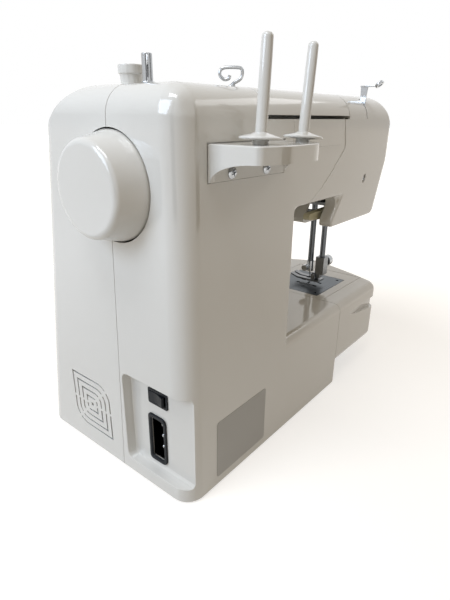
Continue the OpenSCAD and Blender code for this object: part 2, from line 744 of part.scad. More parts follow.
module winder_stop() color(ivory) at_origin() {
    rod_z(body_h + 0.1, body_h + 6.5, -32, -73, 7.2);
    rod_z(body_h + 6.5, body_h + 12.1, -32, -73, 8.3);
    rod_z(body_h - 8, body_h + 0.2, -32, -73, 2.6);
}

// Wire loop on a stem, one solid swept as a ring of round sections.
module wire_guide() color(chrome_c) at_origin() {
    rod_z(body_h - 5, body_h + 4.6, -72, -22, 1.1);
    translate([-74.5, -22, body_h + 10]) rotate([90, 0, 0])
        rotate_extrude() translate([6, 0]) circle(r = 1.1, $fn = SMALL_FN);
}

module head_guide() color(chrome_c) at_origin() {
    block(guide_x + [-0.75, 0.75], [-9, -3.2], [266, 300]);
    block(guide_x + [-3, 3], [-9, 5], [299, 300.5]);
    difference() {
        rod_z(299, 300.5, guide_x.x, 8, 4);
        rod_z(298, 302, guide_x.x, 8, 1.8);
    }
}

// Hollow shelf with a vertical flange in the back's recess and arched side walls.
shelf_plan = [
    [-105, 0, 0], [-23, 0, 0], [-23, shelf_out - 7, 4], [-40, shelf_out, 40],
    [-82, shelf_out, 30], [-105, 14, 20]
];
module spool_shelf() color(ivory) at_origin() difference() {
    intersection() {
        along_z(235, shelf_z) polygon(rounded(shelf_plan, 6));
        along_x(-106, -22) polygon(concat(
            [[0, shelf_z], [0, 235.5], [2, 235.5]],
            [for (a = [180:-10:100]) [34, 236] + [32 * cos(a), 11.5 * sin(a)]],
            [[34, 247.6], [shelf_out + 1, 247.6], [shelf_out + 1, shelf_z]]
        ));
    }
    along_z(230, shelf_z - 3.5) polygon(rounded(inset(shelf_plan, 2), 6));
    spool_place(true) rod_z(-20, 2, 0, 0, pin_foot_r);
    spool_place(false) rod_z(-20, 2, 0, 0, pin_foot_r);
    for (x = [-43, -80]) rod_y(-2, 5, x, 240, 1.7);
}

// Foot of each spool pin on the shelf, leaning outwards.
module spool_place(right) {
    translate([right ? -38 : -84, 26, shelf_z + (right ? 0.6 : 1.4)])
        rotate([0, right ? -lean_right : -lean_left, 0]) children();
}

// The shoulder at the top of the narrower foot keeps the disc on the shelf.
module spool_pin() {
    rod_z(-8, 7, 0, 0, pin_foot_r);
    rod_z(6, pin_len, 0, 0, pin_r);
    translate([0, 0, pin_len]) sphere(r = pin_r);
}
module spool_pin_right() color(ivory) at_origin() spool_place(true) spool_pin();
module spool_pin_left() color(ivory) at_origin() spool_place(false) spool_pin();

module spool_discs() color(ivory) at_origin() for (right = [true, false]) spool_place(right)
    difference() {
        union() {
            rod_z(0, 2, 0, 0, pin_r + 1.2);
            translate([0, 0, 2]) cylinder(h = 1.2, r = disc_r);
            translate([0, 0, 3.2]) cylinder(h = 2.4, r1 = disc_r - 0.6, r2 = pin_r + 1);
        }
        rod_z(-1, 7, 0, 0, pin_foot_r);
    }

// Handle: a curved plate flush with the arm, closed at its ends, with a stub pin at each end
// that turns in the rear cover.
module carry_handle() color(ivory) at_origin() {
    intersection() {
        difference() {
            along_x(handle_x[0] + 1, handle_x[1] - 1) polygon(rounded(side_outline));
            along_x(handle_x[0] + 5, handle_x[1] - 5) polygon(rounded(inset(side_outline, 4)));
        }
        block(handle_x + [1, -1], [handle_y + 2, 1], [handle_z + 1, body_h + 1]);
    }
    for (x = [handle_x[0] - 2, handle_x[1] - 4])
        rod_x(x, x + 6, handle_pivot.x, handle_pivot.y, 1.5 - run_gap);
}

module switch_frame() color(black) at_origin() difference() {
    union() {
        block([-pocket_d, -pocket_d + 1.2], [switch_y - 11, switch_y + 11],
              [switch_z - 7, switch_z + 7]);
        block([-28, -pocket_d], [switch_y - 9.5, switch_y + 9.5], [switch_z - 5.5, switch_z + 5.5]);
    }
    block([-20, 0], [switch_y - 8.6, switch_y + 8.6], [switch_z - 4.6, switch_z + 4.6]);
}

// Rocker with two faces at a shallow angle, turned to one side, on a pin along Z.
module switch_rocker() color(black) at_origin() along_z(switch_z - 4.3, switch_z + 4.3)
    translate([-12, switch_y]) rotate(-7) union() {
        circle(r = 2.4);
        polygon([[0, -2.4], [3.2, -7.9], [5.6, -7.6], [4.4, 0], [5.6, 7.6], [3.2, 7.9], [0, 2.4]]);
    }

module inlet_socket() color(black) at_origin() difference() {
    union() {
        along_x(-pocket_d, -pocket_d + 1.5) translate([socket_y, socket_z]) polygon(rounded([
            [9.6, -21.6, 4], [9.6, 21.6, 4], [-9.6, 21.6, 4], [-9.6, -21.6, 4]], 6));
        block([-33, -pocket_d], [socket_y - 8.5, socket_y + 8.5], [socket_z - 20, socket_z + 20]);
    }
    block([-27, 0], [socket_y - 6.4, socket_y + 6.4], [socket_z - 17.8, socket_z + 17.8]);
}

module inlet_pins() color(chrome_c) at_origin() for (k = [-1, 0, 1])
    rod_x(-27, -14, socket_y, socket_z + 10.5 * k, 1.6);

module rating_label() color([0.72, 0.72, 0.7]) at_origin() block([-95, -31.5], [0, 0.3], [9, 60]);

front_cover();
rear_cover();
base_plate();
rubber_feet();
back_screws();
frame();
free_arm_cover();
shuttle_cover();
extension_table();
needle_plate();
feed_dog();
hook_bracket();
hook_race();
shuttle_hook();
bobbin_case();
bobbin();
main_shaft();
shaft_bushings();
handwheel();
driven_pulley();
crank_disc();
needle_link();
take_up_lever();
needle_bar();
needle_clamp();
needle();
needle_bar_frame();
presser_bar();
presser_spring();
foot_holder();
foot_screw();
foot_sole();
presser_lifter();
thread_cutter();
lamp();
lower_shaft();
lower_bushings();
timing_belt();
motor();
motor_rotor();
motor_belt();
selector_dial();
length_dial();
tension_dial();
reverse_lever();
winder_carriage();
winder_spindle();
winder_stop();
wire_guide();
head_guide();
spool_shelf();
spool_pin_right();
spool_pin_left();
spool_discs();
carry_handle();
switch_frame();
switch_rocker();
inlet_socket();
inlet_pins();
rating_label();
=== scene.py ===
# %% [markdown]
# # A domestic sewing machine, seen from behind its handwheel end
#
# The machine is a hollow plastic body, shaped like a letter C that lies on its back: a column at
# the right, an arm along the top, a head over the needle and a bed below. Inside it, a shaft from
# the handwheel drives the needle. The frame, loaded below, already holds every working part in
# its real place, so this lesson spends its time on what the eye meets: rounded plastic shells,
# a turned handwheel, bright wires and pins, and the finish of each material.

# %% The frame and the box it fills
import json
import math

import bmesh
import bpy
from mathutils import Matrix, Vector

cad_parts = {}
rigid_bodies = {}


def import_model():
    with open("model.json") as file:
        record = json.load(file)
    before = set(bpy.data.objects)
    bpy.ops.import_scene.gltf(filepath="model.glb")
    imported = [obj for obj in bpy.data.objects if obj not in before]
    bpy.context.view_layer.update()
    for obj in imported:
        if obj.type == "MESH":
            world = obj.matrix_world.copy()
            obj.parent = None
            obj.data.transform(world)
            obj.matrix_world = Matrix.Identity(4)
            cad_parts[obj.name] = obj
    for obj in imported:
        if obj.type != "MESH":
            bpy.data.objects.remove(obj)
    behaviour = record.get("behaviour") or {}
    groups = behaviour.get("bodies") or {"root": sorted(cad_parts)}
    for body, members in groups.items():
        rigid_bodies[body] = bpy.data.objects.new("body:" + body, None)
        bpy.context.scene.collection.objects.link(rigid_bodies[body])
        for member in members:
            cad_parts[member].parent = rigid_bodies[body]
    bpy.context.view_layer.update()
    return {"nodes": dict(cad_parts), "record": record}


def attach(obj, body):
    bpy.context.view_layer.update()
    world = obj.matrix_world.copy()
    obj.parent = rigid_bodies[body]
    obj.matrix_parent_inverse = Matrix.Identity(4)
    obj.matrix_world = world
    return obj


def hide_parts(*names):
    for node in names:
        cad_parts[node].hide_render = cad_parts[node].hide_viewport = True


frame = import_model()

# %% [markdown]
# Every shape below is drawn in millimetres, measured the way a maker would: x from the right
# end's face, y from the back, z from the table. One matrix then puts a finished mesh into the
# frame, in metres, so each object can stay at the origin without a turn or a scale of its own.

# %% From the drawing's millimetres to the frame's metres
MILLIMETRE = 0.001
RIGHT_END_X = 168.6765
BACK_Y = 70.383
TO_FRAME = Matrix.Scale(MILLIMETRE, 4) @ Matrix.Translation((RIGHT_END_X, BACK_Y, 0))


def place(x, y, z):
    """A point of the drawing, in the frame's metres."""
    return TO_FRAME @ Vector((x, y, z))


print("needle at", [round(v, 4) for v in place(-268, -60, 80)])

# %% [markdown]
# ## Camera
#
# The machine is looked at from behind its right corner and a little above. A plain perspective
# camera stands about 45 cm away; its place and its three angles say everything, so no shift and
# no blur are used.

# %% The camera
CAMERA_PLACE = (0.34987, 0.25054, 0.27191)
CAMERA_HEADING = 0.684
CAMERA_DOWN = 0.384
CAMERA_ROLL = 0.008
FOCAL_LENGTH = 36.354


def aim(heading, down, roll):
    """Rotation of a camera that looks back along heading, tipped down and rolled."""
    look = Vector((-math.cos(heading) * math.cos(down), -math.sin(heading) * math.cos(down), -math.sin(down)))
    side = look.cross(Vector((0, 0, 1))).normalized()
    top = side.cross(look)
    c, s = math.cos(roll), math.sin(roll)
    right = side * c + top * s
    up = top * c - side * s
    return Matrix((right, up, -look)).transposed()


lens = bpy.data.cameras.new("studio_camera")
lens.sensor_fit = "HORIZONTAL"
lens.sensor_width = 36
lens.lens = FOCAL_LENGTH
lens.clip_start = 0.01
studio_camera = bpy.data.objects.new("studio_camera", lens)
camera_turn = aim(CAMERA_HEADING, CAMERA_DOWN, CAMERA_ROLL).to_4x4()
studio_camera.matrix_world = Matrix.Translation(CAMERA_PLACE) @ camera_turn
bpy.context.scene.collection.objects.link(studio_camera)
bpy.context.scene.camera = studio_camera
print("camera", CAMERA_PLACE, "lens", lens.lens)

# %% [markdown]
# ## Finishes
#
# Moulded plastic isn't one flat colour: it has a very fine texture from the mould, faint marks of
# handling that change its gloss, and a little dirt where hands and cloth rub it. A node group holds
# that effect once, with named inputs, and each material places it with its own values. The group
# puts out only a colour, a roughness and a normal, and the shader stays in the material.

# %% Helpers for node trees
def new_group(name, inputs, outputs):
    """A shader node group with its sockets; returns it with its input and output nodes."""
    group = bpy.data.node_groups.new(name, "ShaderNodeTree")
    for label, kind, value in inputs:
        socket = group.interface.new_socket(name=label, in_out="INPUT", socket_type=kind)
        if value is not None:
            socket.default_value = value
    for label, kind in outputs:
        group.interface.new_socket(name=label, in_out="OUTPUT", socket_type=kind)
    return group, group.nodes.new("NodeGroupInput"), group.nodes.new("NodeGroupOutput")


def add(tree, kind, **settings):
    """A node with its settings; keys that name an input set that input's value."""
    node = tree.nodes.new(kind)
    for key, value in settings.items():
        if hasattr(node, key):
            setattr(node, key, value)
        else:
            node.inputs[key.replace("_", " ").title() if key.islower() else key].default_value = value
    return node


COLOUR, NUMBER, DIRECTION = "NodeSocketColor", "NodeSocketFloat", "NodeSocketVector"
print("node helpers ready")

# %% The moulded-plastic effect
def moulded_surface():
    """Colour drift, handling marks and mould texture over a surface, from object coordinates."""
    group, given, result = new_group(
        "moulded_surface",
        [
            ("Colour", COLOUR, (0.8, 0.8, 0.8, 1)),
            ("Tint", COLOUR, (0.7, 0.7, 0.65, 1)),
            ("Drift", NUMBER, 0.2),
            ("Gloss", NUMBER, 0.2),
            ("Gloss Change", NUMBER, 0.1),
            ("Texture", NUMBER, 0.02),
            ("Texture Scale", NUMBER, 900.0),
        ],
        [("Colour", COLOUR), ("Roughness", NUMBER), ("Normal", DIRECTION)],
    )
    link = group.links.new
    where = add(group, "ShaderNodeTexCoord")
    cloud = add(group, "ShaderNodeTexNoise")
    cloud.inputs["Scale"].default_value = 14
    cloud.inputs["Detail"].default_value = 3
    link(where.outputs["Object"], cloud.inputs["Vector"])
    amount = add(group, "ShaderNodeMath", operation="MULTIPLY")
    link(cloud.outputs["Fac"], amount.inputs[0])
    link(given.outputs["Drift"], amount.inputs[1])
    mixed = add(group, "ShaderNodeMix", data_type="RGBA")
    link(amount.outputs[0], mixed.inputs["Factor"])
    link(given.outputs["Colour"], mixed.inputs["A"])
    link(given.outputs["Tint"], mixed.inputs["B"])
    link(mixed.outputs["Result"], result.inputs["Colour"])
    smudge = add(group, "ShaderNodeTexNoise")
    smudge.inputs["Scale"].default_value = 45
    smudge.inputs["Detail"].default_value = 6
    smudge.inputs["Roughness"].default_value = 0.65
    link(where.outputs["Object"], smudge.inputs["Vector"])
    centred = add(group, "ShaderNodeMath", operation="SUBTRACT")
    link(smudge.outputs["Fac"], centred.inputs[0])
    centred.inputs[1].default_value = 0.5
    scaled = add(group, "ShaderNodeMath", operation="MULTIPLY_ADD", use_clamp=True)
    link(centred.outputs[0], scaled.inputs[0])
    link(given.outputs["Gloss Change"], scaled.inputs[1])
    link(given.outputs["Gloss"], scaled.inputs[2])
    link(scaled.outputs[0], result.inputs["Roughness"])
    grain = add(group, "ShaderNodeTexNoise")
    grain.inputs["Detail"].default_value = 2
    link(where.outputs["Object"], grain.inputs["Vector"])
    link(given.outputs["Texture Scale"], grain.inputs["Scale"])
    bump = add(group, "ShaderNodeBump")
    bump.inputs["Distance"].default_value = 0.0002
    link(given.outputs["Texture"], bump.inputs["Strength"])
    link(grain.outputs["Fac"], bump.inputs["Height"])
    link(bump.outputs["Normal"], result.inputs["Normal"])
    return group


MOULDED = moulded_surface()
print("group", MOULDED.name, "sockets", len(MOULDED.interface.items_tree))

# %% [markdown]
# Metal shows the way it was made. Ground steel carries fine lines along the direction of grinding,
# plated parts are almost free of them, and castings are grainy. One group draws stretched noise
# along a chosen direction and turns it into roughness and a slight relief.

# %% The worked-metal effect
def worked_metal():
    """Fine lines or grain on metal; Stretch says how long the lines are on each axis."""
    group, given, result = new_group(
        "worked_metal",
        [
            ("Colour", COLOUR, (0.6, 0.6, 0.6, 1)),
            ("Dark Colour", COLOUR, (0.4, 0.4, 0.4, 1)),
            ("Stretch", DIRECTION, (1, 1, 1)),
            ("Gloss", NUMBER, 0.3),
            ("Gloss Change", NUMBER, 0.2),
            ("Relief", NUMBER, 0.05),
        ],
        [("Colour", COLOUR), ("Roughness", NUMBER), ("Normal", DIRECTION)],
    )
    link = group.links.new
    where = add(group, "ShaderNodeTexCoord")
    spread = add(group, "ShaderNodeVectorMath", operation="MULTIPLY")
    link(where.outputs["Object"], spread.inputs[0])
    link(given.outputs["Stretch"], spread.inputs[1])
    lines = add(group, "ShaderNodeTexNoise")
    lines.inputs["Scale"].default_value = 400
    lines.inputs["Detail"].default_value = 4
    link(spread.outputs[0], lines.inputs["Vector"])
    mixed = add(group, "ShaderNodeMix", data_type="RGBA")
    link(lines.outputs["Fac"], mixed.inputs["Factor"])
    link(given.outputs["Colour"], mixed.inputs["A"])
    link(given.outputs["Dark Colour"], mixed.inputs["B"])
    link(mixed.outputs["Result"], result.inputs["Colour"])
    centred = add(group, "ShaderNodeMath", operation="SUBTRACT")
    link(lines.outputs["Fac"], centred.inputs[0])
    centred.inputs[1].default_value = 0.5
    scaled = add(group, "ShaderNodeMath", operation="MULTIPLY_ADD", use_clamp=True)
    link(centred.outputs[0], scaled.inputs[0])
    link(given.outputs["Gloss Change"], scaled.inputs[1])
    link(given.outputs["Gloss"], scaled.inputs[2])
    link(scaled.outputs[0], result.inputs["Roughness"])
    bump = add(group, "ShaderNodeBump")
    bump.inputs["Distance"].default_value = 0.0001
    link(given.outputs["Relief"], bump.inputs["Strength"])
    link(lines.outputs["Fac"], bump.inputs["Height"])
    link(bump.outputs["Normal"], result.inputs["Normal"])
    return group


METAL = worked_metal()
print("group", METAL.name)


# %% Materials from the two effects
def finish_from(name, group, values, metallic=0.0, ior=1.5, coat=0.0):
    """A material whose Principled shader takes colour, roughness and normal from a group."""
    material = bpy.data.materials.new(name)
    material.use_nodes = True
    tree = material.node_tree
    shader = tree.nodes["Principled BSDF"]
    effect = add(tree, "ShaderNodeGroup", node_tree=group)
    for key, value in values.items():
        effect.inputs[key].default_value = value
    tree.links.new(effect.outputs["Colour"], shader.inputs["Base Color"])
    tree.links.new(effect.outputs["Roughness"], shader.inputs["Roughness"])
    tree.links.new(effect.outputs["Normal"], shader.inputs["Normal"])
    shader.inputs["Metallic"].default_value = metallic
    shader.inputs["IOR"].default_value = ior
    shader.inputs["Coat Weight"].default_value = coat
    shader.inputs["Coat Roughness"].default_value = 0.06
    return material


def plastic(name, colour, tint, gloss, drift=0.25, change=0.1, texture=0.03, scale=900.0, coat=0.0, ior=1.5):
    values = {"Colour": (*colour, 1), "Tint": (*tint, 1), "Drift": drift, "Gloss": gloss,
              "Gloss Change": change, "Texture": texture, "Texture Scale": scale}
    return finish_from(name, MOULDED, values, ior=ior, coat=coat)


def metal(name, colour, dark, gloss, change=0.2, relief=0.05, stretch=(1, 1, 1)):
    values = {"Colour": (*colour, 1), "Dark Colour": (*dark, 1), "Stretch": stretch, "Gloss": gloss,
              "Gloss Change": change, "Relief": relief}
    return finish_from(name, METAL, values, metallic=1.0)


FINISH = {
    "ivory_plastic": plastic("ivory_gloss", (0.70, 0.695, 0.67), (0.66, 0.64, 0.595), 0.10, coat=0.3),
    "black_plastic": plastic("black_satin", (0.008, 0.010, 0.013), (0.018, 0.02, 0.024), 0.32,
                             texture=0.1, ior=1.26),
    "cream_plastic": plastic("cream_lever", (0.66, 0.63, 0.45), (0.55, 0.5, 0.34), 0.3),
    "polished_steel": metal("plated_steel", (0.50, 0.51, 0.52), (0.40, 0.41, 0.42), 0.14, 0.08, 0.01),
    "dark_steel": metal("dark_ground_steel", (0.16, 0.165, 0.175), (0.09, 0.095, 0.10), 0.36, 0.2, 0.06,
                        (1, 1, 0.08)),
    "plain_steel": metal("ground_steel", (0.30, 0.305, 0.31), (0.2, 0.205, 0.21), 0.32, 0.25, 0.06,
                         (0.1, 1, 1)),
    "blue_steel": metal("plate_steel", (0.095, 0.108, 0.118), (0.07, 0.08, 0.09), 0.3, 0.15, 0.04,
                        (0.06, 1, 1)),
    "cast_alloy": metal("cast_alloy", (0.50, 0.51, 0.52), (0.38, 0.39, 0.40), 0.55, 0.3, 0.4),
    "bronze": metal("sintered_bronze", (0.50, 0.38, 0.20), (0.38, 0.27, 0.13), 0.5, 0.2, 0.3),
    "black_rubber": plastic("black_rubber", (0.022, 0.022, 0.022), (0.035, 0.034, 0.032), 0.7, texture=0.3),
    "lamp_glass": plastic("lamp_glass", (0.75, 0.73, 0.66), (0.7, 0.67, 0.58), 0.15),
    "bobbin_plastic": plastic("bobbin_clear", (0.55, 0.6, 0.64), (0.5, 0.55, 0.6), 0.12),
    "silver_foil": plastic("silver_foil", (0.40, 0.395, 0.375), (0.36, 0.35, 0.33), 0.35, texture=0.06),
}
print("finishes:", len(FINISH))

# %% The finish of every working part that came with the frame
SLOT_OF = {row["node"]: row["material_slot"] for row in frame["record"]["subparts"]}
for node_name, node_object in frame["nodes"].items():
    node_object.data.materials.clear()
    node_object.data.materials.append(FINISH[SLOT_OF[node_name]])
print("working parts painted:", len(SLOT_OF))

# %% [markdown]
# ## Body shell
#
# The real body is injection moulded: two hollow halves that meet in a thin joint over the end
# face. Its outside is one smooth form with generous radii on the outer edges and tight ones round
# the throat. It could be carved with subdivision surfaces, but then the flat faces would bulge. A
# block with exact corners and a bevel whose width differs from edge to edge keeps the faces flat
# and gives each edge its own radius, as the moulder's drawing does. The rim of the foot is rounded
# in a second step, because bevels of very different widths pinch where they meet.

# %% Sizes of the body
BODY_TOP = 290.0
ARM_LENGTH = 312.0
FOOT_GAP = 0.4
FOOT_RADIUS = 2.2
FOOT_FRONT = -183.7
FRONT_HALF_Y = -50
DEPTH_FOOT = 185.0
DEPTH_TOP = 133.0
WALL = 2.5
BED_TOP = 93.0
BASE_END = -228.0
SHAFT_Y, SHAFT_Z = -60.0, 230.0
FRONT_TILT = math.atan2(DEPTH_FOOT - DEPTH_TOP, BODY_TOP)


def front_y(z):
    """The sloping front's place at a height."""
    return -DEPTH_FOOT + (DEPTH_FOOT - DEPTH_TOP) * z / BODY_TOP


# Corners of the C, seen from the front: x, z, radius of the corner, radius of the edge that
# follows it where it meets the back.
BODY_CORNERS = [
    (0, FOOT_GAP, 0, 16), (0, BODY_TOP, 18, 20), (-ARM_LENGTH, BODY_TOP, 46, 18),
    (-ARM_LENGTH, 236, 40, 16), (-ARM_LENGTH + 21, 180, 24, 3), (-184, 180, 5, 2.5),
    (-204, 207, 8, 2.5), (-125, 207, 10, 2.5), (-125, BED_TOP, 8, 8), (BASE_END, BED_TOP, 0, 0),
    (BASE_END, FOOT_GAP, 0, 0),
]
TOP_FRONT_RADIUS = 56.0
print("front leans by", round(math.degrees(FRONT_TILT), 2), "degrees")


# %% Making objects and rounding edges
def to_object(bm, name):
    """Turns a bmesh in the drawing's millimetres into a linked object, still in millimetres."""
    mesh = bpy.data.meshes.new(name)
    bm.to_mesh(mesh)
    bm.free()
    made = bpy.data.objects.new(name, mesh)
    bpy.context.scene.collection.objects.link(made)
    return made


def apply_modifiers(made):
    """Replaces the object's mesh by its modified one."""
    bpy.context.view_layer.update()
    shaped = bpy.data.meshes.new_from_object(made.evaluated_get(bpy.context.evaluated_depsgraph_get()))
    made.modifiers.clear()
    old = made.data
    made.data = shaped
    bpy.data.meshes.remove(old)
    return made


def bevel_width(edge, radius):
    """How far from an edge its rounding of this radius starts, from the turn between its faces."""
    if radius <= 0 or len(edge.link_faces) != 2:
        return 0.0
    turn = edge.link_faces[0].normal.angle(edge.link_faces[1].normal, 0)
    return radius * math.tan(turn / 2)


FULL_WEIGHT = 60.0


def round_by_weight(made, radius_of, segments=8):
    """Rounds each edge by the radius that radius_of(start, end) gives, all in one bevel."""
    bm = bmesh.new()
    bm.from_mesh(made.data)
    bm.normal_update()
    weight = bm.edges.layers.float.new("bevel_weight_edge")
    for edge in bm.edges:
        radius = radius_of(edge.verts[0].co, edge.verts[1].co)
        edge[weight] = bevel_width(edge, radius) / FULL_WEIGHT
    bm.to_mesh(made.data)
    bm.free()
    rounding = made.modifiers.new("rounding", "BEVEL")
    rounding.limit_method = "WEIGHT"
    rounding.offset_type = "OFFSET"
    rounding.width = FULL_WEIGHT
    rounding.segments = segments
    rounding.profile = 0.5
    rounding.use_clamp_overlap = False
    return apply_modifiers(made)


print("rounding tools ready")


# %% The body's block and its roundings
def near(a, b, tolerance=0.05):
    return abs(a - b) < tolerance


def body_block():
    """The C-shaped block: an outline at the back, extruded to the sloping front."""
    bm = bmesh.new()
    outline = [bm.verts.new((x, 0, z)) for x, z, _, _ in BODY_CORNERS]
    back = bm.faces.new(outline)
    grown = bmesh.ops.extrude_face_region(bm, geom=[back])
    for vertex in [g for g in grown["geom"] if isinstance(g, bmesh.types.BMVert)]:
        vertex.co.y = front_y(vertex.co.z)
    bmesh.ops.recalc_face_normals(bm, faces=bm.faces)
    return to_object(bm, "body_block")


def corner_index(point):
    return next(i for i, c in enumerate(BODY_CORNERS) if near(point.x, c[0]) and near(point.z, c[1]))


def body_radius(start, end):
    """Radius of one edge of the body's block."""
    i, j = corner_index(start), corner_index(end)
    if i == j:
        return BODY_CORNERS[i][2]
    first = i if (i + 1) % len(BODY_CORNERS) == j else j
    if start.y < FRONT_HALF_Y and first == 1:
        return TOP_FRONT_RADIUS
    return BODY_CORNERS[first][3]


def soften_rim(made, level, radius, segments=4, open_end=None):
    """Rounds the edges round a flat top or underside, once the upright edges have their own radius.

    Edges at x = open_end stay sharp, and the foot of the sloping front is held to the front's line.
    """
    bm = bmesh.new()
    bm.from_mesh(made.data)
    rim = [e for e in bm.edges if all(near(v.co.z, level) for v in e.verts)
           and any(abs(f.normal.z) < 0.9 for f in e.link_faces)
           and not (open_end is not None and all(near(v.co.x, open_end) for v in e.verts))]
    bmesh.ops.bevel(bm, geom=rim, offset=radius, segments=segments, profile=0.5, affect="EDGES",
                    clamp_overlap=True)
    for vertex in bm.verts:
        vertex.co.y = max(vertex.co.y, FOOT_FRONT)
    bm.to_mesh(made.data)
    bm.free()
    return made


body = soften_rim(round_by_weight(body_block(), body_radius, segments=10), FOOT_GAP, FOOT_RADIUS)
print("body:", len(body.data.polygons), "faces")


# %% [markdown]
# ### Openings
#
# A moulded shell has many openings: for the handwheel, the levers, the needle and the light. They
# are cut here with solid cutters while the body is still one closed block. Faces that a cutter
# leaves behind carry its material number, so those of a through hole can be deleted, which leaves
# a clean opening, while those of a recess stay as its walls and floor.

# %% Cutting tools
KEEP, OPEN = 1, 2


def brick(bm, x, y, z, turn=None):
    """A box from its ranges on the three axes, with an optional matrix applied."""
    size = Vector((x[1] - x[0], y[1] - y[0], z[1] - z[0]))
    middle = Vector(((x[0] + x[1]) / 2, (y[0] + y[1]) / 2, (z[0] + z[1]) / 2))
    matrix = Matrix.Translation(middle) @ Matrix.Diagonal((*size, 1))
    if turn is not None:
        matrix = turn @ matrix
    bmesh.ops.create_cube(bm, size=1, matrix=matrix)


def bar(bm, radius, length, matrix, sides=64, top_radius=None):
    """A round bar, centred, along its own Z axis, placed by a matrix."""
    bmesh.ops.create_cone(bm, cap_ends=True, segments=sides, radius1=radius,
                          radius2=radius if top_radius is None else top_radius, depth=length, matrix=matrix)


def plate_of(bm, points, direction):
    """A closed flat-sided solid: the outline's points, extruded by a direction."""
    face = bm.faces.new([bm.verts.new(p) for p in points])
    grown = bmesh.ops.extrude_face_region(bm, geom=[face])
    moved = [g for g in grown["geom"] if isinstance(g, bmesh.types.BMVert)]
    bmesh.ops.translate(bm, verts=moved, vec=direction)
    bmesh.ops.recalc_face_normals(bm, faces=bm.faces)


ALONG_X = Matrix.Rotation(math.radians(90), 4, "Y")


def cut(made, shape, kind, name="cutter"):
    """Takes a cutter, made by shape(bm), out of an object and marks its faces by kind."""
    bm = bmesh.new()
    shape(bm)
    bmesh.ops.recalc_face_normals(bm, faces=bm.faces)
    for face in bm.faces:
        face.material_index = kind
    cutter = to_object(bm, name)
    for thing in (made, cutter):
        while len(thing.data.materials) < 3:
            thing.data.materials.append(None)
    removal = made.modifiers.new("removal", "BOOLEAN")
    removal.operation = "DIFFERENCE"
    removal.solver = "EXACT"
    removal.object = cutter
    apply_modifiers(made)
    bpy.data.objects.remove(cutter)
    bm = bmesh.new()
    bm.from_mesh(made.data)
    bmesh.ops.dissolve_limit(bm, angle_limit=math.radians(0.2), verts=bm.verts, edges=bm.edges,
                             delimit={"MATERIAL"})
    bm.to_mesh(made.data)
    bm.free()
    return made


def front_frame(x, z):
    """Matrix with +Z along the sloping front's outward normal, at a height on the front."""
    return Matrix.Translation((x, front_y(z), z)) @ Matrix.Rotation(math.radians(90) - FRONT_TILT, 4, "X")


print("cutting tools ready")

# %% Through openings of the body
INLET_Y, INLET_Z = -40.0, 39.5
SWITCH_Y, SWITCH_Z = -38.0, 77.5
LIFTER_SLOT_X, SLOT_Y = (-240, -178), (-28.5, -12)
BARS_X, BARS_FRONT = (-286, -246), -76
GUIDE_X = -240.0


def through_openings(bm):
    bar(bm, 35.6, 12, Matrix.Translation((2, SHAFT_Y, SHAFT_Z)) @ ALONG_X, 96)
    brick(bm, (BASE_END + 6, -6), (-DEPTH_FOOT + 8, -6), (0, 9))
    brick(bm, (BASE_END - 1, BASE_END + 4), (-98, -28), (34, 89.5))
    brick(bm, (-31.6, -24.4), (-59, -49.2), (BODY_TOP - 5, BODY_TOP + 5))
    brick(bm, (-269.5, -260), (-175, -105), (206, 274))
    brick(bm, (-15, 15), (-11, 4.5), (-9, 9), front_frame(-62, 112))
    brick(bm, (-20, 5), (INLET_Y - 8.7, INLET_Y + 8.7), (INLET_Z - 20.2, INLET_Z + 20.2))
    brick(bm, (-20, 5), (SWITCH_Y - 9.7, SWITCH_Y + 9.7), (SWITCH_Z - 5.7, SWITCH_Z + 5.7))


def head_floor(bm):
    """The opening under the two bars, in one piece with the slot that the lifter turns down through."""
    slot_end = LIFTER_SLOT_X[1]
    plan = [(BARS_X[0], BARS_FRONT), (BARS_X[1], BARS_FRONT), (BARS_X[1], SLOT_Y[0]), (slot_end, SLOT_Y[0]),
            (slot_end, SLOT_Y[1]), (BARS_X[0], SLOT_Y[1])]
    plate_of(bm, [(x, y, 170) for x, y in plan], (0, 0, 16))


def head_openings(bm):
    brick(bm, LIFTER_SLOT_X, SLOT_Y, (175, 205))
    brick(bm, (GUIDE_X - 1.1, GUIDE_X + 1.1), (-10, 4), (271, BODY_TOP + 5))
    bar(bm, 10, 16, Matrix.Translation((-222, -112, 180)), 48)


cut(body, through_openings, OPEN)
cut(body, head_floor, OPEN)
cut(body, head_openings, OPEN)
print("after the through openings:", len(body.data.polygons), "faces")

# %% Rounded outlines
def rounded(corners, steps=5):
    """Points of a flat outline whose corners (u, v, radius) are rounded by arcs."""
    points = []
    for i, (u, v, radius) in enumerate(corners):
        here = Vector((u, v))
        if radius == 0:
            points.append(here)
            continue
        to_last = (Vector(corners[i - 1][:2]) - here).normalized()
        to_next = (Vector(corners[(i + 1) % len(corners)][:2]) - here).normalized()
        half = to_last.angle(to_next) / 2
        middle = here + (to_last + to_next).normalized() * radius / math.sin(half)
        first = here + to_last * radius / math.tan(half) - middle
        last = here + to_next * radius / math.tan(half) - middle
        sweep = first.angle_signed(last)
        for k in range(steps + 1):
            points.append(middle + Matrix.Rotation(-sweep * k / steps, 2) @ first)
    return points


def oblong(middle, half, radius, steps=5):
    """A rounded rectangle about a middle; radius is one number, or one for each corner."""
    radii = radius if isinstance(radius, tuple) else (radius,) * 4
    signs = ((-1, -1), (1, -1), (1, 1), (-1, 1))
    corners = [(middle[0] + s * half[0], middle[1] + t * half[1], r) for (s, t), r in zip(signs, radii)]
    return rounded(corners, steps)


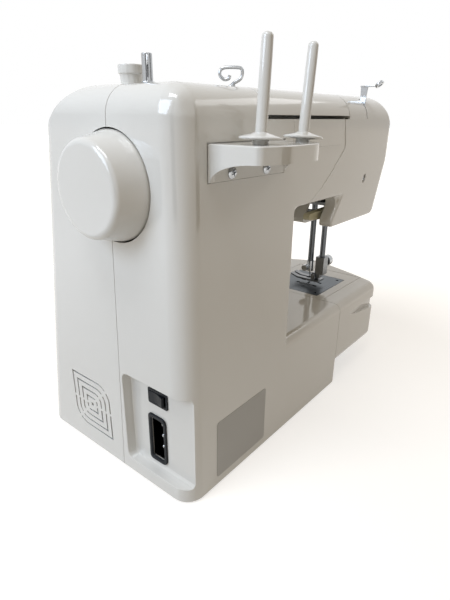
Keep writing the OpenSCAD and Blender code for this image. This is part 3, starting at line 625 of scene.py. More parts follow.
def slab(bm, points, direction):
    """A closed flat solid; returns its first face and the face that moved by the direction."""
    first = bm.faces.new([bm.verts.new(p) for p in points])
    grown = bmesh.ops.extrude_face_region(bm, geom=[first])["geom"]
    bmesh.ops.translate(bm, verts=[g for g in grown if isinstance(g, bmesh.types.BMVert)], vec=direction)
    last = next(g for g in grown if isinstance(g, bmesh.types.BMFace))
    bmesh.ops.recalc_face_normals(bm, faces=bm.faces)
    return first, last


def push(bm, face, inset=0.0, rise=0.0):
    """Insets a face and moves it along its normal: both at once slopes, a rise alone extrudes."""
    if inset:
        bmesh.ops.inset_region(bm, faces=[face], thickness=inset, depth=rise, use_even_offset=True)
        return face
    step = face.normal * rise
    face = bmesh.ops.extrude_discrete_faces(bm, faces=[face])["faces"][0]
    bmesh.ops.translate(bm, verts=face.verts[:], vec=step)
    return face


print("outline tools ready")

# %% [markdown]
# The recess for the inlet has soft inner corners, as a mould needs: its floor meets its walls in
# small fillets, and its mouth has a worn lip. The cutter is therefore a slab whose face is inset
# and pushed in a few steps, so the fillets and the lip come out of one clean cut. The vent is a
# set of thin slots along nested squares. Two corners of each square are pointed and two are round,
# and ribs cross the slots at the round corners and halfway up the sides.

# %% Recesses of the body
HANDLE_X = (-205, -81)
POCKET_Y, POCKET_Z, POCKET_DEPTH = (-68, 12), (13, 92), 9.0


def inlet_pocket(bm):
    middle = (sum(POCKET_Y) / 2, sum(POCKET_Z) / 2)
    half = ((POCKET_Y[1] - POCKET_Y[0]) / 2, (POCKET_Z[1] - POCKET_Z[0]) / 2)
    outline = oblong(middle, (half[0] + 1.2, half[1] + 1.2), 7.0)
    _, face = slab(bm, [(3, y, z) for y, z in outline], (-3, 0, 0))
    for inset, rise in ((0.85, 0.35), (0.35, 0.85), (0, POCKET_DEPTH - 5.2), (0.9, 2.6), (3.1, 1.4)):
        face = push(bm, face, inset, rise)


def handle_recess(bm):
    profile = [(-42, 265), (-6, 265), (-6, 270.5), (5, 270.5), (5, 296), (-42, 296)]
    slab(bm, [(HANDLE_X[0], y, z) for y, z in profile], (HANDLE_X[1] - HANDLE_X[0], 0, 0))


def shelf_recess(bm):
    brick(bm, (-105.5, -22.5), (-1.5, 5), (235, 258))


def arm_panel(bm):
    """A shallow panel on the back of the arm: a step at its far outline, level at the near end."""
    outline = rounded([(-100, 271, 0), (-197, 271, 3), (-202.5, 248, 5), (-181, 229.5, 30), (-165, 218, 40),
                       (-143, 206, 0), (-100, 204, 0)])
    _, inner = slab(bm, [(x, 1.0, z) for x, z in outline], (0, -1.0, 0))
    for vertex in inner.verts:
        vertex.co.y = -0.6 * (-112 - vertex.co.x) / 90


def head_screw_recess(bm):
    tilt = Matrix.Translation((-249, 0, 218)) @ Matrix.Rotation(math.radians(-28), 4, "Y")
    ring = [tilt @ Vector((2.6 * math.cos(a), 1, 4.6 * math.sin(a))) for a in
            (2 * math.pi * k / 24 for k in range(24))]
    slab(bm, ring, (0, -3.4, 0))


VENT_MIDDLE, VENT_HALF, VENT_RINGS, VENT_SLOT = (-112.0, 44.0), 25.0, 4, 1.5


def vent_path(s, r, low, high):
    """Points along a ring: from a side's middle over the pointed corner to the rounded one."""
    def arc(a, b):
        return [(s - r + r * math.cos(math.radians(a + (b - a) * k / 6)),
                 s - r + r * math.sin(math.radians(a + (b - a) * k / 6))) for k in range(7)]
    if low:
        return arc(45 - high, 0) + [(s, 1.0)]
    return [(-s, 1.2), (-s, s)] + arc(90, 45 + high)


def vent_slots(bm):
    for k in range(1, VENT_RINGS + 1):
        outer = VENT_HALF * (k + 0.25) / (VENT_RINGS + 0.25)
        radius = 0.62 * outer
        rib = math.degrees(1.3 / radius)
        for turn in (0, 180):
            spot = Matrix.Translation((0, *VENT_MIDDLE)) @ Matrix.Rotation(math.radians(turn), 4, "X")
            for low in (False, True):
                out = vent_path(outer, radius, low, rib)
                back = vent_path(outer - VENT_SLOT, radius - VENT_SLOT, low, rib)
                slab(bm, [spot @ Vector((2, u, v)) for u, v in out + back[::-1]], (-4, 0, 0))
    centre = Vector((2, *VENT_MIDDLE))
    slab(bm, [centre + Vector((0, u, v)) for u, v in oblong((0, 0), (1.5, 1.5), 0.7, 3)], (-4, 0, 0))


for recess in (inlet_pocket, handle_recess, shelf_recess, arm_panel, head_screw_recess):
    cut(body, recess, KEEP)
    print("after", recess.__name__, len(body.data.polygons), "faces")
cut(body, vent_slots, OPEN)
print("after the vent's slots", len(body.data.polygons), "faces")


# %% [markdown]
# ### Two halves with a wall
#
# The joint between the halves is a plane that leans a little, from 75 mm in at the table to 60 mm
# in at the top. A plane cut on each side of it leaves half a millimetre between the halves, which
# shows as the fine dark line round the machine. Solidify then gives each open half its wall.

# %% Halves, walls and normals
SEAM_FOOT, SEAM_TOP, SEAM_GAP = -75.0, -60.0, 0.45
SEAM_NORMAL = Vector((0, BODY_TOP, SEAM_FOOT - SEAM_TOP)).normalized()


def half_shell(name, rear):
    """One half of the body: open holes, cut at the joint; finish_piece gives it its wall inwards later."""
    bm = bmesh.new()
    bm.from_mesh(body.data)
    holes = [f for f in bm.faces if f.material_index == OPEN]
    bmesh.ops.delete(bm, geom=holes, context="FACES")
    side = 1 if rear else -1
    bmesh.ops.bisect_plane(
        bm, geom=bm.verts[:] + bm.edges[:] + bm.faces[:], dist=0.001,
        plane_co=Vector((0, SEAM_FOOT, 0)) + SEAM_NORMAL * side * SEAM_GAP / 2,
        plane_no=SEAM_NORMAL * -side, clear_outer=True)
    for face in bm.faces:
        face.material_index = 0
    return to_object(bm, name)


def finish_piece(made, body_name, slot, replaced=(), edge=0.0, thickness=0.0, segments=2, angle=35):
    """Puts a drawn piece into the frame: wall, softened edges, finish, body and replaced nodes."""
    made.data.transform(TO_FRAME)
    made.data.materials.clear()
    made.data.materials.append(FINISH[slot])
    for polygon in made.data.polygons:
        polygon.use_smooth = True
        polygon.material_index = 0
    if thickness:
        wall = made.modifiers.new("wall", "SOLIDIFY")
        wall.thickness = thickness * MILLIMETRE
        wall.offset = -1
        wall.use_even_offset = False
        apply_modifiers(made)
    if edge:
        soft = made.modifiers.new("soft_edges", "BEVEL")
        soft.width = edge * MILLIMETRE
        soft.segments = segments
        soft.limit_method = "ANGLE"
        soft.angle_limit = math.radians(angle)
        soft.use_clamp_overlap = True
        soft.harden_normals = False
        apply_modifiers(made)
    flat = made.modifiers.new("flat_faces", "WEIGHTED_NORMAL")
    flat.keep_sharp = True
    flat.weight = 80
    apply_modifiers(made)
    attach(made, body_name)
    if replaced:
        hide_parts(*replaced)
    return made


def sharpen(made, degrees=40):
    """Marks the edges that turn more than an angle as sharp, so that faces there shade apart."""
    bm = bmesh.new()
    bm.from_mesh(made.data)
    limit = math.radians(degrees)
    for edge in bm.edges:
        if len(edge.link_faces) != 2 or edge.calc_face_angle(0) > limit:
            edge.smooth = False
    bm.to_mesh(made.data)
    bm.free()
    return made


rear_shell = half_shell("rear_shell", True)
front_shell = half_shell("front_shell", False)
bpy.data.objects.remove(body)
for shell, node_name in ((rear_shell, "rear_cover"), (front_shell, "front_cover")):
    sharpen(shell)
    finish_piece(shell, "housing", "ivory_plastic", (node_name,), thickness=WALL)
    print(shell.name, len(shell.data.polygons), "faces")

# %% [markdown]
# ## Extension table
#
# A hollow box slides over the free arm and makes the bed wider. Its plan has a blunt nose with big
# corner radii, its top edge is soft, and near the nose a groove in the back gives the fingers a
# hold to pull it off. It is made as the body is: a block whose upright edges each get their own
# radius, soft rims in a second step, cutters, and a wall.

# %% The table's block
TABLE_CORNERS = [
    (BASE_END - 0.5, 0, 0), (-323, 0, 14), (-338, -35, 0), (-360, -95, 22),
    (-322, -DEPTH_FOOT, 40), (BASE_END - 0.5, -DEPTH_FOOT, 0),
]
TABLE_FOOT = 25.0
NOSE_LEAN = 9.0


def table_block():
    """The table's plan, extruded upwards, with the front and the nose leaning in."""
    bm = bmesh.new()
    low = bm.faces.new([bm.verts.new((x, y, TABLE_FOOT)) for x, y, _ in TABLE_CORNERS])
    grown = bmesh.ops.extrude_face_region(bm, geom=[low])
    moved = [g for g in grown["geom"] if isinstance(g, bmesh.types.BMVert)]
    bmesh.ops.translate(bm, verts=moved, vec=(0, 0, BED_TOP - TABLE_FOOT))
    for vertex in bm.verts:
        if near(vertex.co.y, -DEPTH_FOOT):
            vertex.co.y = front_y(vertex.co.z)
        if vertex.co.x < -330 and vertex.co.z < 30:
            vertex.co.x += NOSE_LEAN * (-vertex.co.x - 323) / 37
    bmesh.ops.recalc_face_normals(bm, faces=bm.faces)
    return to_object(bm, "extension_table_shell")


def table_corner(point):
    def off(i):
        return (Vector((point.x, point.y)) - Vector(TABLE_CORNERS[i][:2])).length
    return min(range(len(TABLE_CORNERS)), key=off)


def table_radius(start, end):
    i, j = table_corner(start), table_corner(end)
    return TABLE_CORNERS[i][2] if i == j else 0


table = round_by_weight(table_block(), table_radius, segments=8)
for level in (BED_TOP, TABLE_FOOT):
    soften_rim(table, level, 8, 8, TABLE_CORNERS[0][0])
print("table:", len(table.data.polygons), "faces")

# %% The table's openings and wall
FREE_ARM_X = (-324, BASE_END - 0.5)
FREE_ARM_Y = (-104, -22)


def table_room(bm):
    brick(bm, (FREE_ARM_X[0] - 0.5, BASE_END + 3), (FREE_ARM_Y[0] - 0.5, FREE_ARM_Y[1] + 0.5), (10, 100))


def finger_groove(bm):
    outline = [(-250, 76.5), (-345, 77), (-345, 62), (-322, 63), (-268, 70)]
    plate_of(bm, [(x, -0.5 + 0.08 * (x + 250), z) for x, z in outline], (0, 12, 0))


cut(table, table_room, OPEN)
cut(table, finger_groove, KEEP)
bm = bmesh.new()
bm.from_mesh(table.data)
ends = [f for f in bm.faces if f.material_index == OPEN
        or (abs(f.normal.x) > 0.99 and f.calc_center_median().x > BASE_END - 1)]
bmesh.ops.delete(bm, geom=ends, context="FACES")
bm.to_mesh(table.data)
bm.free()
sharpen(table)
finish_piece(table, "extension_table", "ivory_plastic", ("extension_table",), thickness=WALL)
print("table with its wall:", len(table.data.polygons), "faces")

# %% [markdown]
# ## Handwheel
#
# The wheel is turned on a lathe in the mould-maker's shop, so it is a body of revolution: a wide
# rim that disappears into the cover, sides that narrow a little, a soft rounded shoulder and a flat
# face. Spin makes it from one profile, which is the natural tool for anything turned.

# %% Turned pieces
def turned(name, profile, matrix, steps=96):
    """Spins a profile of (radius, height) points about its own Z axis and places it by a matrix."""
    bm = bmesh.new()
    points = [bm.verts.new((r, 0, h)) for r, h in profile]
    edges = [bm.edges.new(pair) for pair in zip(points, points[1:])]
    bmesh.ops.spin(bm, geom=points + edges, cent=(0, 0, 0), axis=(0, 0, 1), angle=2 * math.pi,
                   steps=steps, use_merge=True)
    bmesh.ops.remove_doubles(bm, verts=bm.verts, dist=0.0005)
    rims = [e for e in bm.edges if len(e.link_faces) == 1]
    if rims:
        bmesh.ops.holes_fill(bm, edges=rims, sides=0)
    bmesh.ops.recalc_face_normals(bm, faces=bm.faces)
    bmesh.ops.transform(bm, matrix=matrix, verts=bm.verts)
    return to_object(bm, name)


def quarter(radius, height, r, start, stop, steps=6):
    """Points of an arc of radius r about (radius, height), between two angles in degrees."""
    angles = [math.radians(start + (stop - start) * k / steps) for k in range(steps + 1)]
    return [(radius + r * math.cos(angle), height + r * math.sin(angle)) for angle in angles]


WHEEL_FACE_R, WHEEL_OUT, WHEEL_RIM_R = 30.5, 21.0, 34.6
wheel_profile = (
    [(0.0, -8.0), (14.0, -8.0), (14.0, -4.0), (WHEEL_RIM_R - 0.8, -4.0), (WHEEL_RIM_R, -3.2),
     (WHEEL_RIM_R, 0.6), (WHEEL_RIM_R - 0.5, 1.6)]
    + quarter(WHEEL_FACE_R - 4.4, WHEEL_OUT - 4.4, 4.4, 0, 90, 8)
    + [(WHEEL_FACE_R - 12, WHEEL_OUT + 0.0), (0.0, WHEEL_OUT)]
)
handwheel = turned("handwheel_turned", wheel_profile, Matrix.Translation((0, SHAFT_Y, SHAFT_Z)) @ ALONG_X)
sharpen(handwheel, 50)
finish_piece(handwheel, "main_shaft", "ivory_plastic", ("handwheel",))
print("handwheel:", len(handwheel.data.polygons), "faces")

# %% [markdown]
# ## Small parts
#
# Each small part is one closed piece with its own worn or moulded edges. Three tools make most of
# them: a lathe for anything round, a slab with pushed faces for anything moulded flat, and a tube
# for wire. Working parts whose plain solid is already right are copied, cleaned of seams, and get
# a small bevel, because no real edge is perfectly sharp.

# %% Tools for small parts
def lathe(bm, profile, matrix, steps=64):
    """Adds a profile of (radius, height) points, spun about its own Z axis, to a bmesh."""
    spun = turned("lathe", profile, matrix, steps)
    bm.from_mesh(spun.data)
    bpy.data.objects.remove(spun)


def tube(bm, path, radius, sides=14):
    """A round wire along a path; its radius may be a list with one number for each point."""
    path = [Vector(p) for p in path]
    radii = radius if isinstance(radius, list) else [radius] * len(path)
    ahead = (path[1] - path[0]).normalized()
    across = ahead.orthogonal().normalized()
    rings = []
    for i, (point, r) in enumerate(zip(path, radii)):
        new_ahead = (path[min(i + 1, len(path) - 1)] - path[max(i - 1, 0)]).normalized()
        across = ahead.rotation_difference(new_ahead) @ across
        ahead = new_ahead
        other = ahead.cross(across)
        rings.append([bm.verts.new(point + (across * math.cos(a) + other * math.sin(a)) * r)
                      for a in (2 * math.pi * k / sides for k in range(sides))])
    for low, high in zip(rings, rings[1:]):
        for k in range(sides):
            bm.faces.new((low[k], low[(k + 1) % sides], high[(k + 1) % sides], high[k]))
    bm.faces.new(rings[0][::-1])
    bm.faces.new(rings[-1])


def smooth_path(points, steps=6):
    """A smooth curve through the points."""
    points = [Vector(p) for p in points]
    ends = [2 * points[0] - points[1]] + points + [2 * points[-1] - points[-2]]
    path = []
    for a, b, c, d in zip(ends, ends[1:], ends[2:], ends[3:]):
        for k in range(steps):
            t = k / steps
            path.append(0.5 * (2 * b + (c - a) * t + (2 * a - 5 * b + 4 * c - d) * t ** 2
                               + (3 * b - a - 3 * c + d) * t ** 3))
    return path + [points[-1]]


def body_of(node_name):
    return frame["nodes"][node_name].parent.name.removeprefix("body:")


def piece(name, shape, slot, body_name="housing", replaced=(), cuts=(), edge=0.25, segments=2, angle=35,
          sharp=50):
    """One piece from shape(bm), with cutters taken out of it, its edges softened and its finish."""
    bm = bmesh.new()
    shape(bm)
    bmesh.ops.recalc_face_normals(bm, faces=bm.faces)
    made = to_object(bm, name)
    for cutter in cuts:
        cut(made, cutter, KEEP)
    if not edge:
        sharpen(made, sharp)
    finish_piece(made, body_name, slot, replaced, edge=edge, segments=segments, angle=angle)
    return made


def soften(node_name, edge=0.3, segments=2, angle=30, flat=0.5):
    """A copy of a working part with its seams merged and its edges broken, in place of the plain one."""
    node_object = frame["nodes"][node_name]
    bm = bmesh.new()
    bm.from_mesh(node_object.data)
    bmesh.ops.remove_doubles(bm, verts=bm.verts, dist=0.00002)
    bmesh.ops.dissolve_limit(bm, angle_limit=math.radians(flat), verts=bm.verts, edges=bm.edges)
    bmesh.ops.transform(bm, matrix=TO_FRAME.inverted(), verts=bm.verts)
    made = to_object(bm, node_name + "_finished")
    return finish_piece(made, body_of(node_name), SLOT_OF[node_name], (node_name,), edge=edge,
                        segments=segments, angle=angle)


print("tools for small parts ready")

# %% [markdown]
# ### Inlet and switch
#
# The inlet is a black moulding with a flange, a soft inner rim and three domed pins deep inside.
# The rocker above it has two faces at a shallow angle, so one half catches the light.

# %% Inlet, switch and label
FLOOR_X = -POCKET_DEPTH


def inlet_shape(bm):
    def at(x, points):
        return [Vector((x, INLET_Y + u, INLET_Z + v)) for u, v in points]
    outline = oblong((0, 0), (9.6, 21.6), (3.2, 5.0, 5.0, 3.2), 6)
    _, face = slab(bm, at(FLOOR_X, outline), (1.2, 0, 0))
    face = push(bm, face, 0.5, 0.4)
    slab(bm, at(FLOOR_X - 24, oblong((0, 0), (8.4, 19.9), 3, 4)), (24.01, 0, 0))


def inlet_hollow(bm):
    outline = oblong((0, 0), (7.2, 18.8), (2.4, 3.9, 3.9, 2.4), 6)
    _, face = slab(bm, [Vector((FLOOR_X + 3, INLET_Y + u, INLET_Z + v)) for u, v in outline], (-1.6, 0, 0))
    face = push(bm, face, 0.8, 1.2)
    push(bm, face, 0, 16.8)


def inlet_pin_shapes(bm):
    for k in (-1, 0, 1):
        spot = Matrix.Translation((FLOOR_X - 18, INLET_Y, INLET_Z + 10.5 * k)) @ ALONG_X
        lathe(bm, [(0, 0), (1.9, 0)] + quarter(0.3, 12.4, 1.6, 0, 90, 6) + [(0, 14.0)], spot, 28)


def switch_frame_shape(bm):
    spot = [Vector((FLOOR_X, SWITCH_Y + u, SWITCH_Z + v)) for u, v in oblong((0, 0), (10.4, 6.8), 1.6, 4)]
    _, face = slab(bm, spot, (0.9, 0, 0))
    push(bm, face, 0.35, 0.25)
    brick(bm, (FLOOR_X - 18, FLOOR_X + 0.01), (SWITCH_Y - 9.3, SWITCH_Y + 9.3),
          (SWITCH_Z - 5.3, SWITCH_Z + 5.3))


def switch_hollow(bm):
    spot = [Vector((FLOOR_X + 3, SWITCH_Y + u, SWITCH_Z + v)) for u, v in oblong((0, 0), (8.6, 4.6), 0.6, 3)]
    slab(bm, spot, (-14, 0, 0))


def rocker_shape(bm):
    outline = [(0, -2.4), (3.2, -7.9), (5.6, -7.6), (4.9, -3.6), (4.45, 0), (4.9, 3.6), (5.6, 7.6),
               (3.2, 7.9), (0, 2.4), (-2.2, 0)]
    spot = Matrix.Translation((-12, SWITCH_Y, SWITCH_Z - 4.3)) @ Matrix.Rotation(math.radians(-7), 4, "Z")
    slab(bm, [spot @ Vector((u, v, 0)) for u, v in outline], (0, 0, 8.6))


def label_shape(bm):
    outline = oblong((-63.25, 34.5), (31.75, 25.5), 2.2, 5)
    slab(bm, [Vector((u, 0.02, v)) for u, v in outline], (0, 0.26, 0))


piece("inlet_moulding", inlet_shape, "black_plastic", replaced=("inlet_socket",), cuts=(inlet_hollow,),
      edge=0.3)
piece("inlet_pins_domed", inlet_pin_shapes, "polished_steel", replaced=("inlet_pins",), edge=0)
piece("switch_surround", switch_frame_shape, "black_plastic", replaced=("switch_frame",),
      cuts=(switch_hollow,), edge=0.2)
piece("rocker", rocker_shape, "black_plastic", "switch_rocker", ("switch_rocker",), edge=0.45, segments=3,
      angle=20)
piece("bare_label", label_shape, "silver_foil", replaced=("rating_label",), edge=0.05)
print("inlet, switch and label ready")

# %% [markdown]
# ### Thread stand
#
# The shelf hangs on a flange in a recess of the back. Its ends are arched walls and its underside
# is hollow, so the two screws that hold it show under the arch. A pin leans out of it on each side,
# through a thin lens-shaped disc.

# %% Shelf
SHELF_TOP = 257.5
SHELF_PLAN = [(-105, 0, 0), (-23, 0, 0), (-23, 36, 5), (-40, 43, 40), (-82, 43, 30), (-105, 14, 20)]
PIN_SPOTS = [
    Matrix.Translation((-38, 26, SHELF_TOP + 0.6)) @ Matrix.Rotation(math.radians(-3.5), 4, "Y"),
    Matrix.Translation((-84, 26, SHELF_TOP + 1.4)) @ Matrix.Rotation(math.radians(-5.5), 4, "Y"),
]


def shelf_shape(bm):
    _, face = slab(bm, [(u, v, 235.6) for u, v in rounded(SHELF_PLAN, 8)], (0, 0, SHELF_TOP - 235.6 - 0.9))
    face = push(bm, face, 0.3, 0.55)
    push(bm, face, 0.6, 0.35)


def shelf_arch(bm):
    arch = [(34 + 32 * math.cos(a), 236 + 11.5 * math.sin(a)) for a in
            (math.radians(180 - 8 * k) for k in range(11))]
    profile = [(2, 230), (2, 236)] + arch[1:] + [(36, 247.6), (50, 247.6), (50, 230)]
    slab(bm, [(-110, u, v) for u, v in profile], (95, 0, 0))


def shelf_hollow(bm):
    plan = [(-103, 2, 2), (-25, 2, 2), (-25, 34.6, 4), (-40, 41, 36), (-82, 41, 28), (-103, 13.6, 18)]
    slab(bm, [(u, v, 230) for u, v in rounded(plan, 6)], (0, 0, SHELF_TOP - 3 - 230))


SCREWS = [(-43, 2, 240, 1.0), (-80, 2, 240, 1.0), (-249, -2.4, 218, 0.62)]
OUT_OF_BACK = Matrix.Rotation(math.radians(-90), 4, "X")


def screw_shapes(bm):
    for x, y, z, share in SCREWS:
        head = [(0, -11), (1.6, -11), (1.6, 0), (3.7, 0), (3.8, 0.5), (3.4, 1.2), (2.5, 1.7), (1.2, 1.95),
                (0, 2.0)]
        lathe(bm, [(r * share, h) for r, h in head], Matrix.Translation((x, y, z)) @ OUT_OF_BACK, 32)


def screw_crosses(bm):
    arm, half = 2.3, 0.45
    cross = [(half, -arm), (half, -half), (arm, -half), (arm, half), (half, half), (half, arm), (-half, arm),
             (-half, half), (-arm, half), (-arm, -half), (-half, -half), (-half, -arm)]
    for x, y, z, share in SCREWS:
        spot = Matrix.Translation((x, y, z)) @ OUT_OF_BACK @ Matrix.Rotation(math.radians(20), 4, "Z")
        slab(bm, [spot @ Vector((u * share, v * share, 0.8 * share)) for u, v in cross], (0, 3, 0))


piece("back_screws_crossed", screw_shapes, "polished_steel", replaced=("back_screws",),
      cuts=(screw_crosses,), edge=0.08)
piece("shelf_moulding", shelf_shape, "ivory_plastic", replaced=("spool_shelf",),
      cuts=(shelf_arch, shelf_hollow), edge=0.35, angle=40)
print("shelf ready")

# %% Pins and discs
def pin_shape(bm, spot):
    length = 52
    lathe(bm, [(0, -6), (3.2, -6), (3.2, 5.4), (3.4, 6.2), (3.4, 9), (3.25, length - 6), (3.15, length - 0.2)]
          + quarter(0.75, length + 0.5, 2.4, 0, 90, 7) + [(0, length + 2.9)], spot, 40)


def disc_shapes(bm):
    for spot, sink in zip(PIN_SPOTS, (0, 1.4)):
        spot = spot @ Matrix.Translation((0, 0, -sink))
        lathe(bm, [(3.25, -0.5), (4.4, -0.5), (4.4, 1.5), (6.5, 1.7), (11.9, 2.0), (12.35, 2.25), (12.5, 2.7),
                   (12.3, 3.2), (11.6, 3.55), (9.0, 4.3), (6.2, 5.0), (4.6, 5.5), (3.9, 5.8), (3.25, 5.8),
                   (3.25, -0.5)], spot, 72)


for i, node_name in enumerate(("spool_pin_right", "spool_pin_left")):
    piece(node_name + "_turned", lambda bm, spot=PIN_SPOTS[i]: pin_shape(bm, spot), "ivory_plastic",
          replaced=(node_name,), edge=0, sharp=60)
piece("spool_discs_turned", disc_shapes, "ivory_plastic", replaced=("spool_discs",), edge=0, sharp=60)
print("thread stand ready")

# %% [markdown]
# ### Wires, winder and guides
#
# The thread guide on the arm is one bent wire: it rises from the plastic, turns once round the
# thread and comes back to its own stem. The guide at the head's end is folded sheet. The bobbin
# winder has a plated spindle with a spring clip in its slot, and a stop that is a small drum.

# %% Fittings on the top
LOOP_BASE = Vector((-72, -22, BODY_TOP - 0.4))
LOOP_SIDE = Vector((-0.632, 0.775, 0))
LOOP = [(-0.6, -4), (-0.6, -0.4), (1.2, 2.0), (5.4, 4.4), (6.9, 7.2), (6.6, 10.2), (4.2, 11.1), (-3.9, 11.0),
        (-6.8, 9.3), (-6.8, 6.4), (-4.2, 4.2), (-1.2, 4.7), (-0.4, 6.6)]


def loop_shape(bm):
    bends = [LOOP_BASE + LOOP_SIDE * u + Vector((0.25 * i, 0.1 * i, v)) for i, (u, v) in enumerate(LOOP)]
    tube(bm, smooth_path(bends), 1.05)
    collar = [(0, -1), (2.3, -1), (2.3, 0.5), (1.7, 0.9), (0, 0.9)]
    lathe(bm, collar, Matrix.Translation((-72, -22, BODY_TOP)), 32)


WINDER = Matrix.Translation((-28, -53, 0))
CLIP_TURN = Matrix.Rotation(math.radians(-38), 4, "Z")


def spindle_shape(bm):
    lathe(bm, [(0, 262.5), (7.4, 262.5), (8, 263.1), (8, 269.4), (7.4, 270), (2.5, 270), (2.5, 290.6),
               (4.2, 290.6), (4.4, 290.9), (4.2, 291.4), (3.3, 291.6), (3.3, 306.6), (3.0, 307.0),
               (0, 307.0)], WINDER, 48)


def spindle_slot(bm):
    brick(bm, (-0.55, 0.55), (-5, 5), (293.5, 310), WINDER @ CLIP_TURN)


def clip_shape(bm):
    bend = [(0, 291.8), (0, 299.5), (2.9, 300.2), (4.9, 301.4), (5.2, 303.2), (4.4, 305.2), (2.6, 306.6),
            (0.2, 306.8)]
    tube(bm, smooth_path([WINDER @ CLIP_TURN @ Vector((0, u, v)) for u, v in bend]), 0.5, 10)


def stop_shape(bm):
    lathe(bm, [(0, 283), (2.6, 283), (2.6, 290.05), (6.6, 290.05), (6.8, 290.4), (7.2, 296.0), (7.5, 296.5)]
          + quarter(7.6, 297.2, 0.7, -90, 0, 3) + quarter(7.6, 301.4, 0.7, 0, 90, 4)
          + [(5.6, 302.1), (5.0, 301.5), (0, 301.5)], Matrix.Translation((-32, -73, 0)), 64)


def head_guide_shape(bm):
    blade = [(-9, 266), (-3.4, 266), (-3.4, 283), (-3.0, 290), (-2.2, 297.3), (-9.0, 297.3), (-8.6, 290),
             (-8.2, 283)]
    slab(bm, [(GUIDE_X - 0.6, u, v) for u, v in blade], (1.2, 0, 0))


def head_guide_arm(bm):
    plan = ((-1.6, -9), (1.6, -9), (2.6, -2), (1.6, 5), (-1.6, 5), (-2.6, -2))
    slab(bm, [(GUIDE_X + u, v, 296.8) for u, v in plan], (0, 0, 1.1))
    spot = Matrix.Translation((GUIDE_X, 7.6, 298.8)) @ Matrix.Rotation(math.radians(38), 4, "X")
    ring = [(1.9, -1.3), (3.5, -1.3), (3.9, -0.8), (3.9, 0.8), (3.5, 1.3), (2.2, 1.3), (1.9, 0.9), (1.9, -1.3)]
    lathe(bm, ring, spot, 40)


piece("thread_loop", loop_shape, "polished_steel", replaced=("wire_guide",), edge=0, sharp=60)
piece("spindle_turned", spindle_shape, "polished_steel", "winder_spindle", ("winder_spindle",),
      (spindle_slot,), edge=0.15)
piece("spindle_clip", clip_shape, "polished_steel", "winder_spindle", edge=0, sharp=60)
piece("winder_stop_drum", stop_shape, "ivory_plastic", replaced=("winder_stop",), edge=0, sharp=45)
piece("head_guide_blade", head_guide_shape, "polished_steel", replaced=("head_guide",), edge=0.3)
piece("head_guide_ring", head_guide_arm, "polished_steel", edge=0.2)
print("fittings on the top ready")

# %% [markdown]
# ### Bare plate
#
# A thin plate lies on the back of the arm, behind the spool pins, in the body's own ivory finish. Nothing is
# printed on it.

# %% Bare plate
def bare_plate_shape(bm):
    outline = rounded([(-196, 250.5, 3), (-116, 250.5, 2), (-116, 270.2, 2), (-196, 270.2, 3)], 4)
    _, face = slab(bm, [(u, -0.6, v) for u, v in outline], (0, 0.75, 0))
    push(bm, face, 0.12, 0.12)


piece("bare_plate", bare_plate_shape, "ivory_plastic", edge=0)
print("bare plate ready")

# %% [markdown]
# ### Dials
#
# Each dial is a skirt with fine grip ridges, a raised knob over it and, on two of them, a bar to
# turn it by. Plain numbers stand round the skirt, as thin raised print.

# %% Dials with ridges and numbers
CONTROL_X, SELECTOR_Z, LENGTH_Z = -62, 152, 212
TENSION_X, TENSION_Z = -222, 248


def ridged_ring(bm, radius, low, high, ridges, depth, matrix):
    """A round skirt whose edge has fine ridges, with a chamfer at its top."""
    def ring(shrink, z):
        points = []
        for k in range(ridges):
            for part, inwards in ((0.0, depth), (0.3, 0), (0.6, 0), (0.9, depth)):
                a = 2 * math.pi * (k + part) / ridges
                points.append(matrix @ Vector(((radius - inwards - shrink) * math.cos(a),
                                               (radius - inwards - shrink) * math.sin(a), z)))
        return [bm.verts.new(p) for p in points]
    rings = [ring(0.5, low), ring(0, low + 0.4), ring(0, high - 0.7), ring(0.7, high)]
    for first, second in zip(rings, rings[1:]):
        count = len(first)
        for k in range(count):
            bm.faces.new((first[k], first[(k + 1) % count], second[(k + 1) % count], second[k]))
    bm.faces.new(rings[0][::-1])
    bm.faces.new(rings[-1])


def dial_shape(bm, spot, radius, height, stem, bar_height):
    ridged_ring(bm, radius, 0.6, height * 0.4 + 0.6, round(radius * 3), 0.35, spot)
    knob = radius * 0.8 if bar_height == 0 else radius * 0.78
    foot = height * 0.4
    lathe(bm, [(0, foot), (knob + 0.6, foot), (knob + 0.2, height * 0.45), (knob, height - 1.2)]
          + quarter(knob - 1.2, height - 1.2, 1.2, 0, 90, 4) + [(0, height)], spot, 72)
    lathe(bm, [(0, -12), (stem, -12), (stem, 1), (0, 1)], spot, 32)
    if bar_height:
        half = knob - 0.8
        outline = [spot @ Vector((u, v, height - 0.4)) for u, v in oblong((0, 0), (1.9, half), 1.4, 4)]
        _, face = slab(bm, outline, spot.to_3x3() @ Vector((0, 0, bar_height - 0.6)))
        push(bm, face, 0.6, 0.6)


def print_numbers(name, spot, labels, radius, height, size, body_name, start=90, span=360):
    """Numbers round a dial, as one thin raised mesh in the dark finish."""
    bm = bmesh.new()
    for k, label in enumerate(labels):
        text = bpy.data.curves.new(name, "FONT")
        text.body = label
        text.size = size
        text.extrude = 0.06
        text.align_x, text.align_y = "CENTER", "CENTER"
        text_object = bpy.data.objects.new(name, text)
        bpy.context.scene.collection.objects.link(text_object)
        bpy.context.view_layer.update()
        evaluated = text_object.evaluated_get(bpy.context.evaluated_depsgraph_get())
        mesh = bpy.data.meshes.new_from_object(evaluated)
        bpy.data.objects.remove(text_object)
        turn = math.radians(start - span * k / len(labels))
        mesh.transform(spot @ Matrix.Rotation(turn, 4, "Z") @ Matrix.Translation((radius, 0, height))
                       @ Matrix.Rotation(math.radians(-90), 4, "Z"))
        bm.from_mesh(mesh)
        bpy.data.meshes.remove(mesh)
    bmesh.ops.remove_doubles(bm, verts=bm.verts, dist=0.001)
    made = to_object(bm, name)
    sharpen(made)
    finish_piece(made, body_name, "black_plastic")


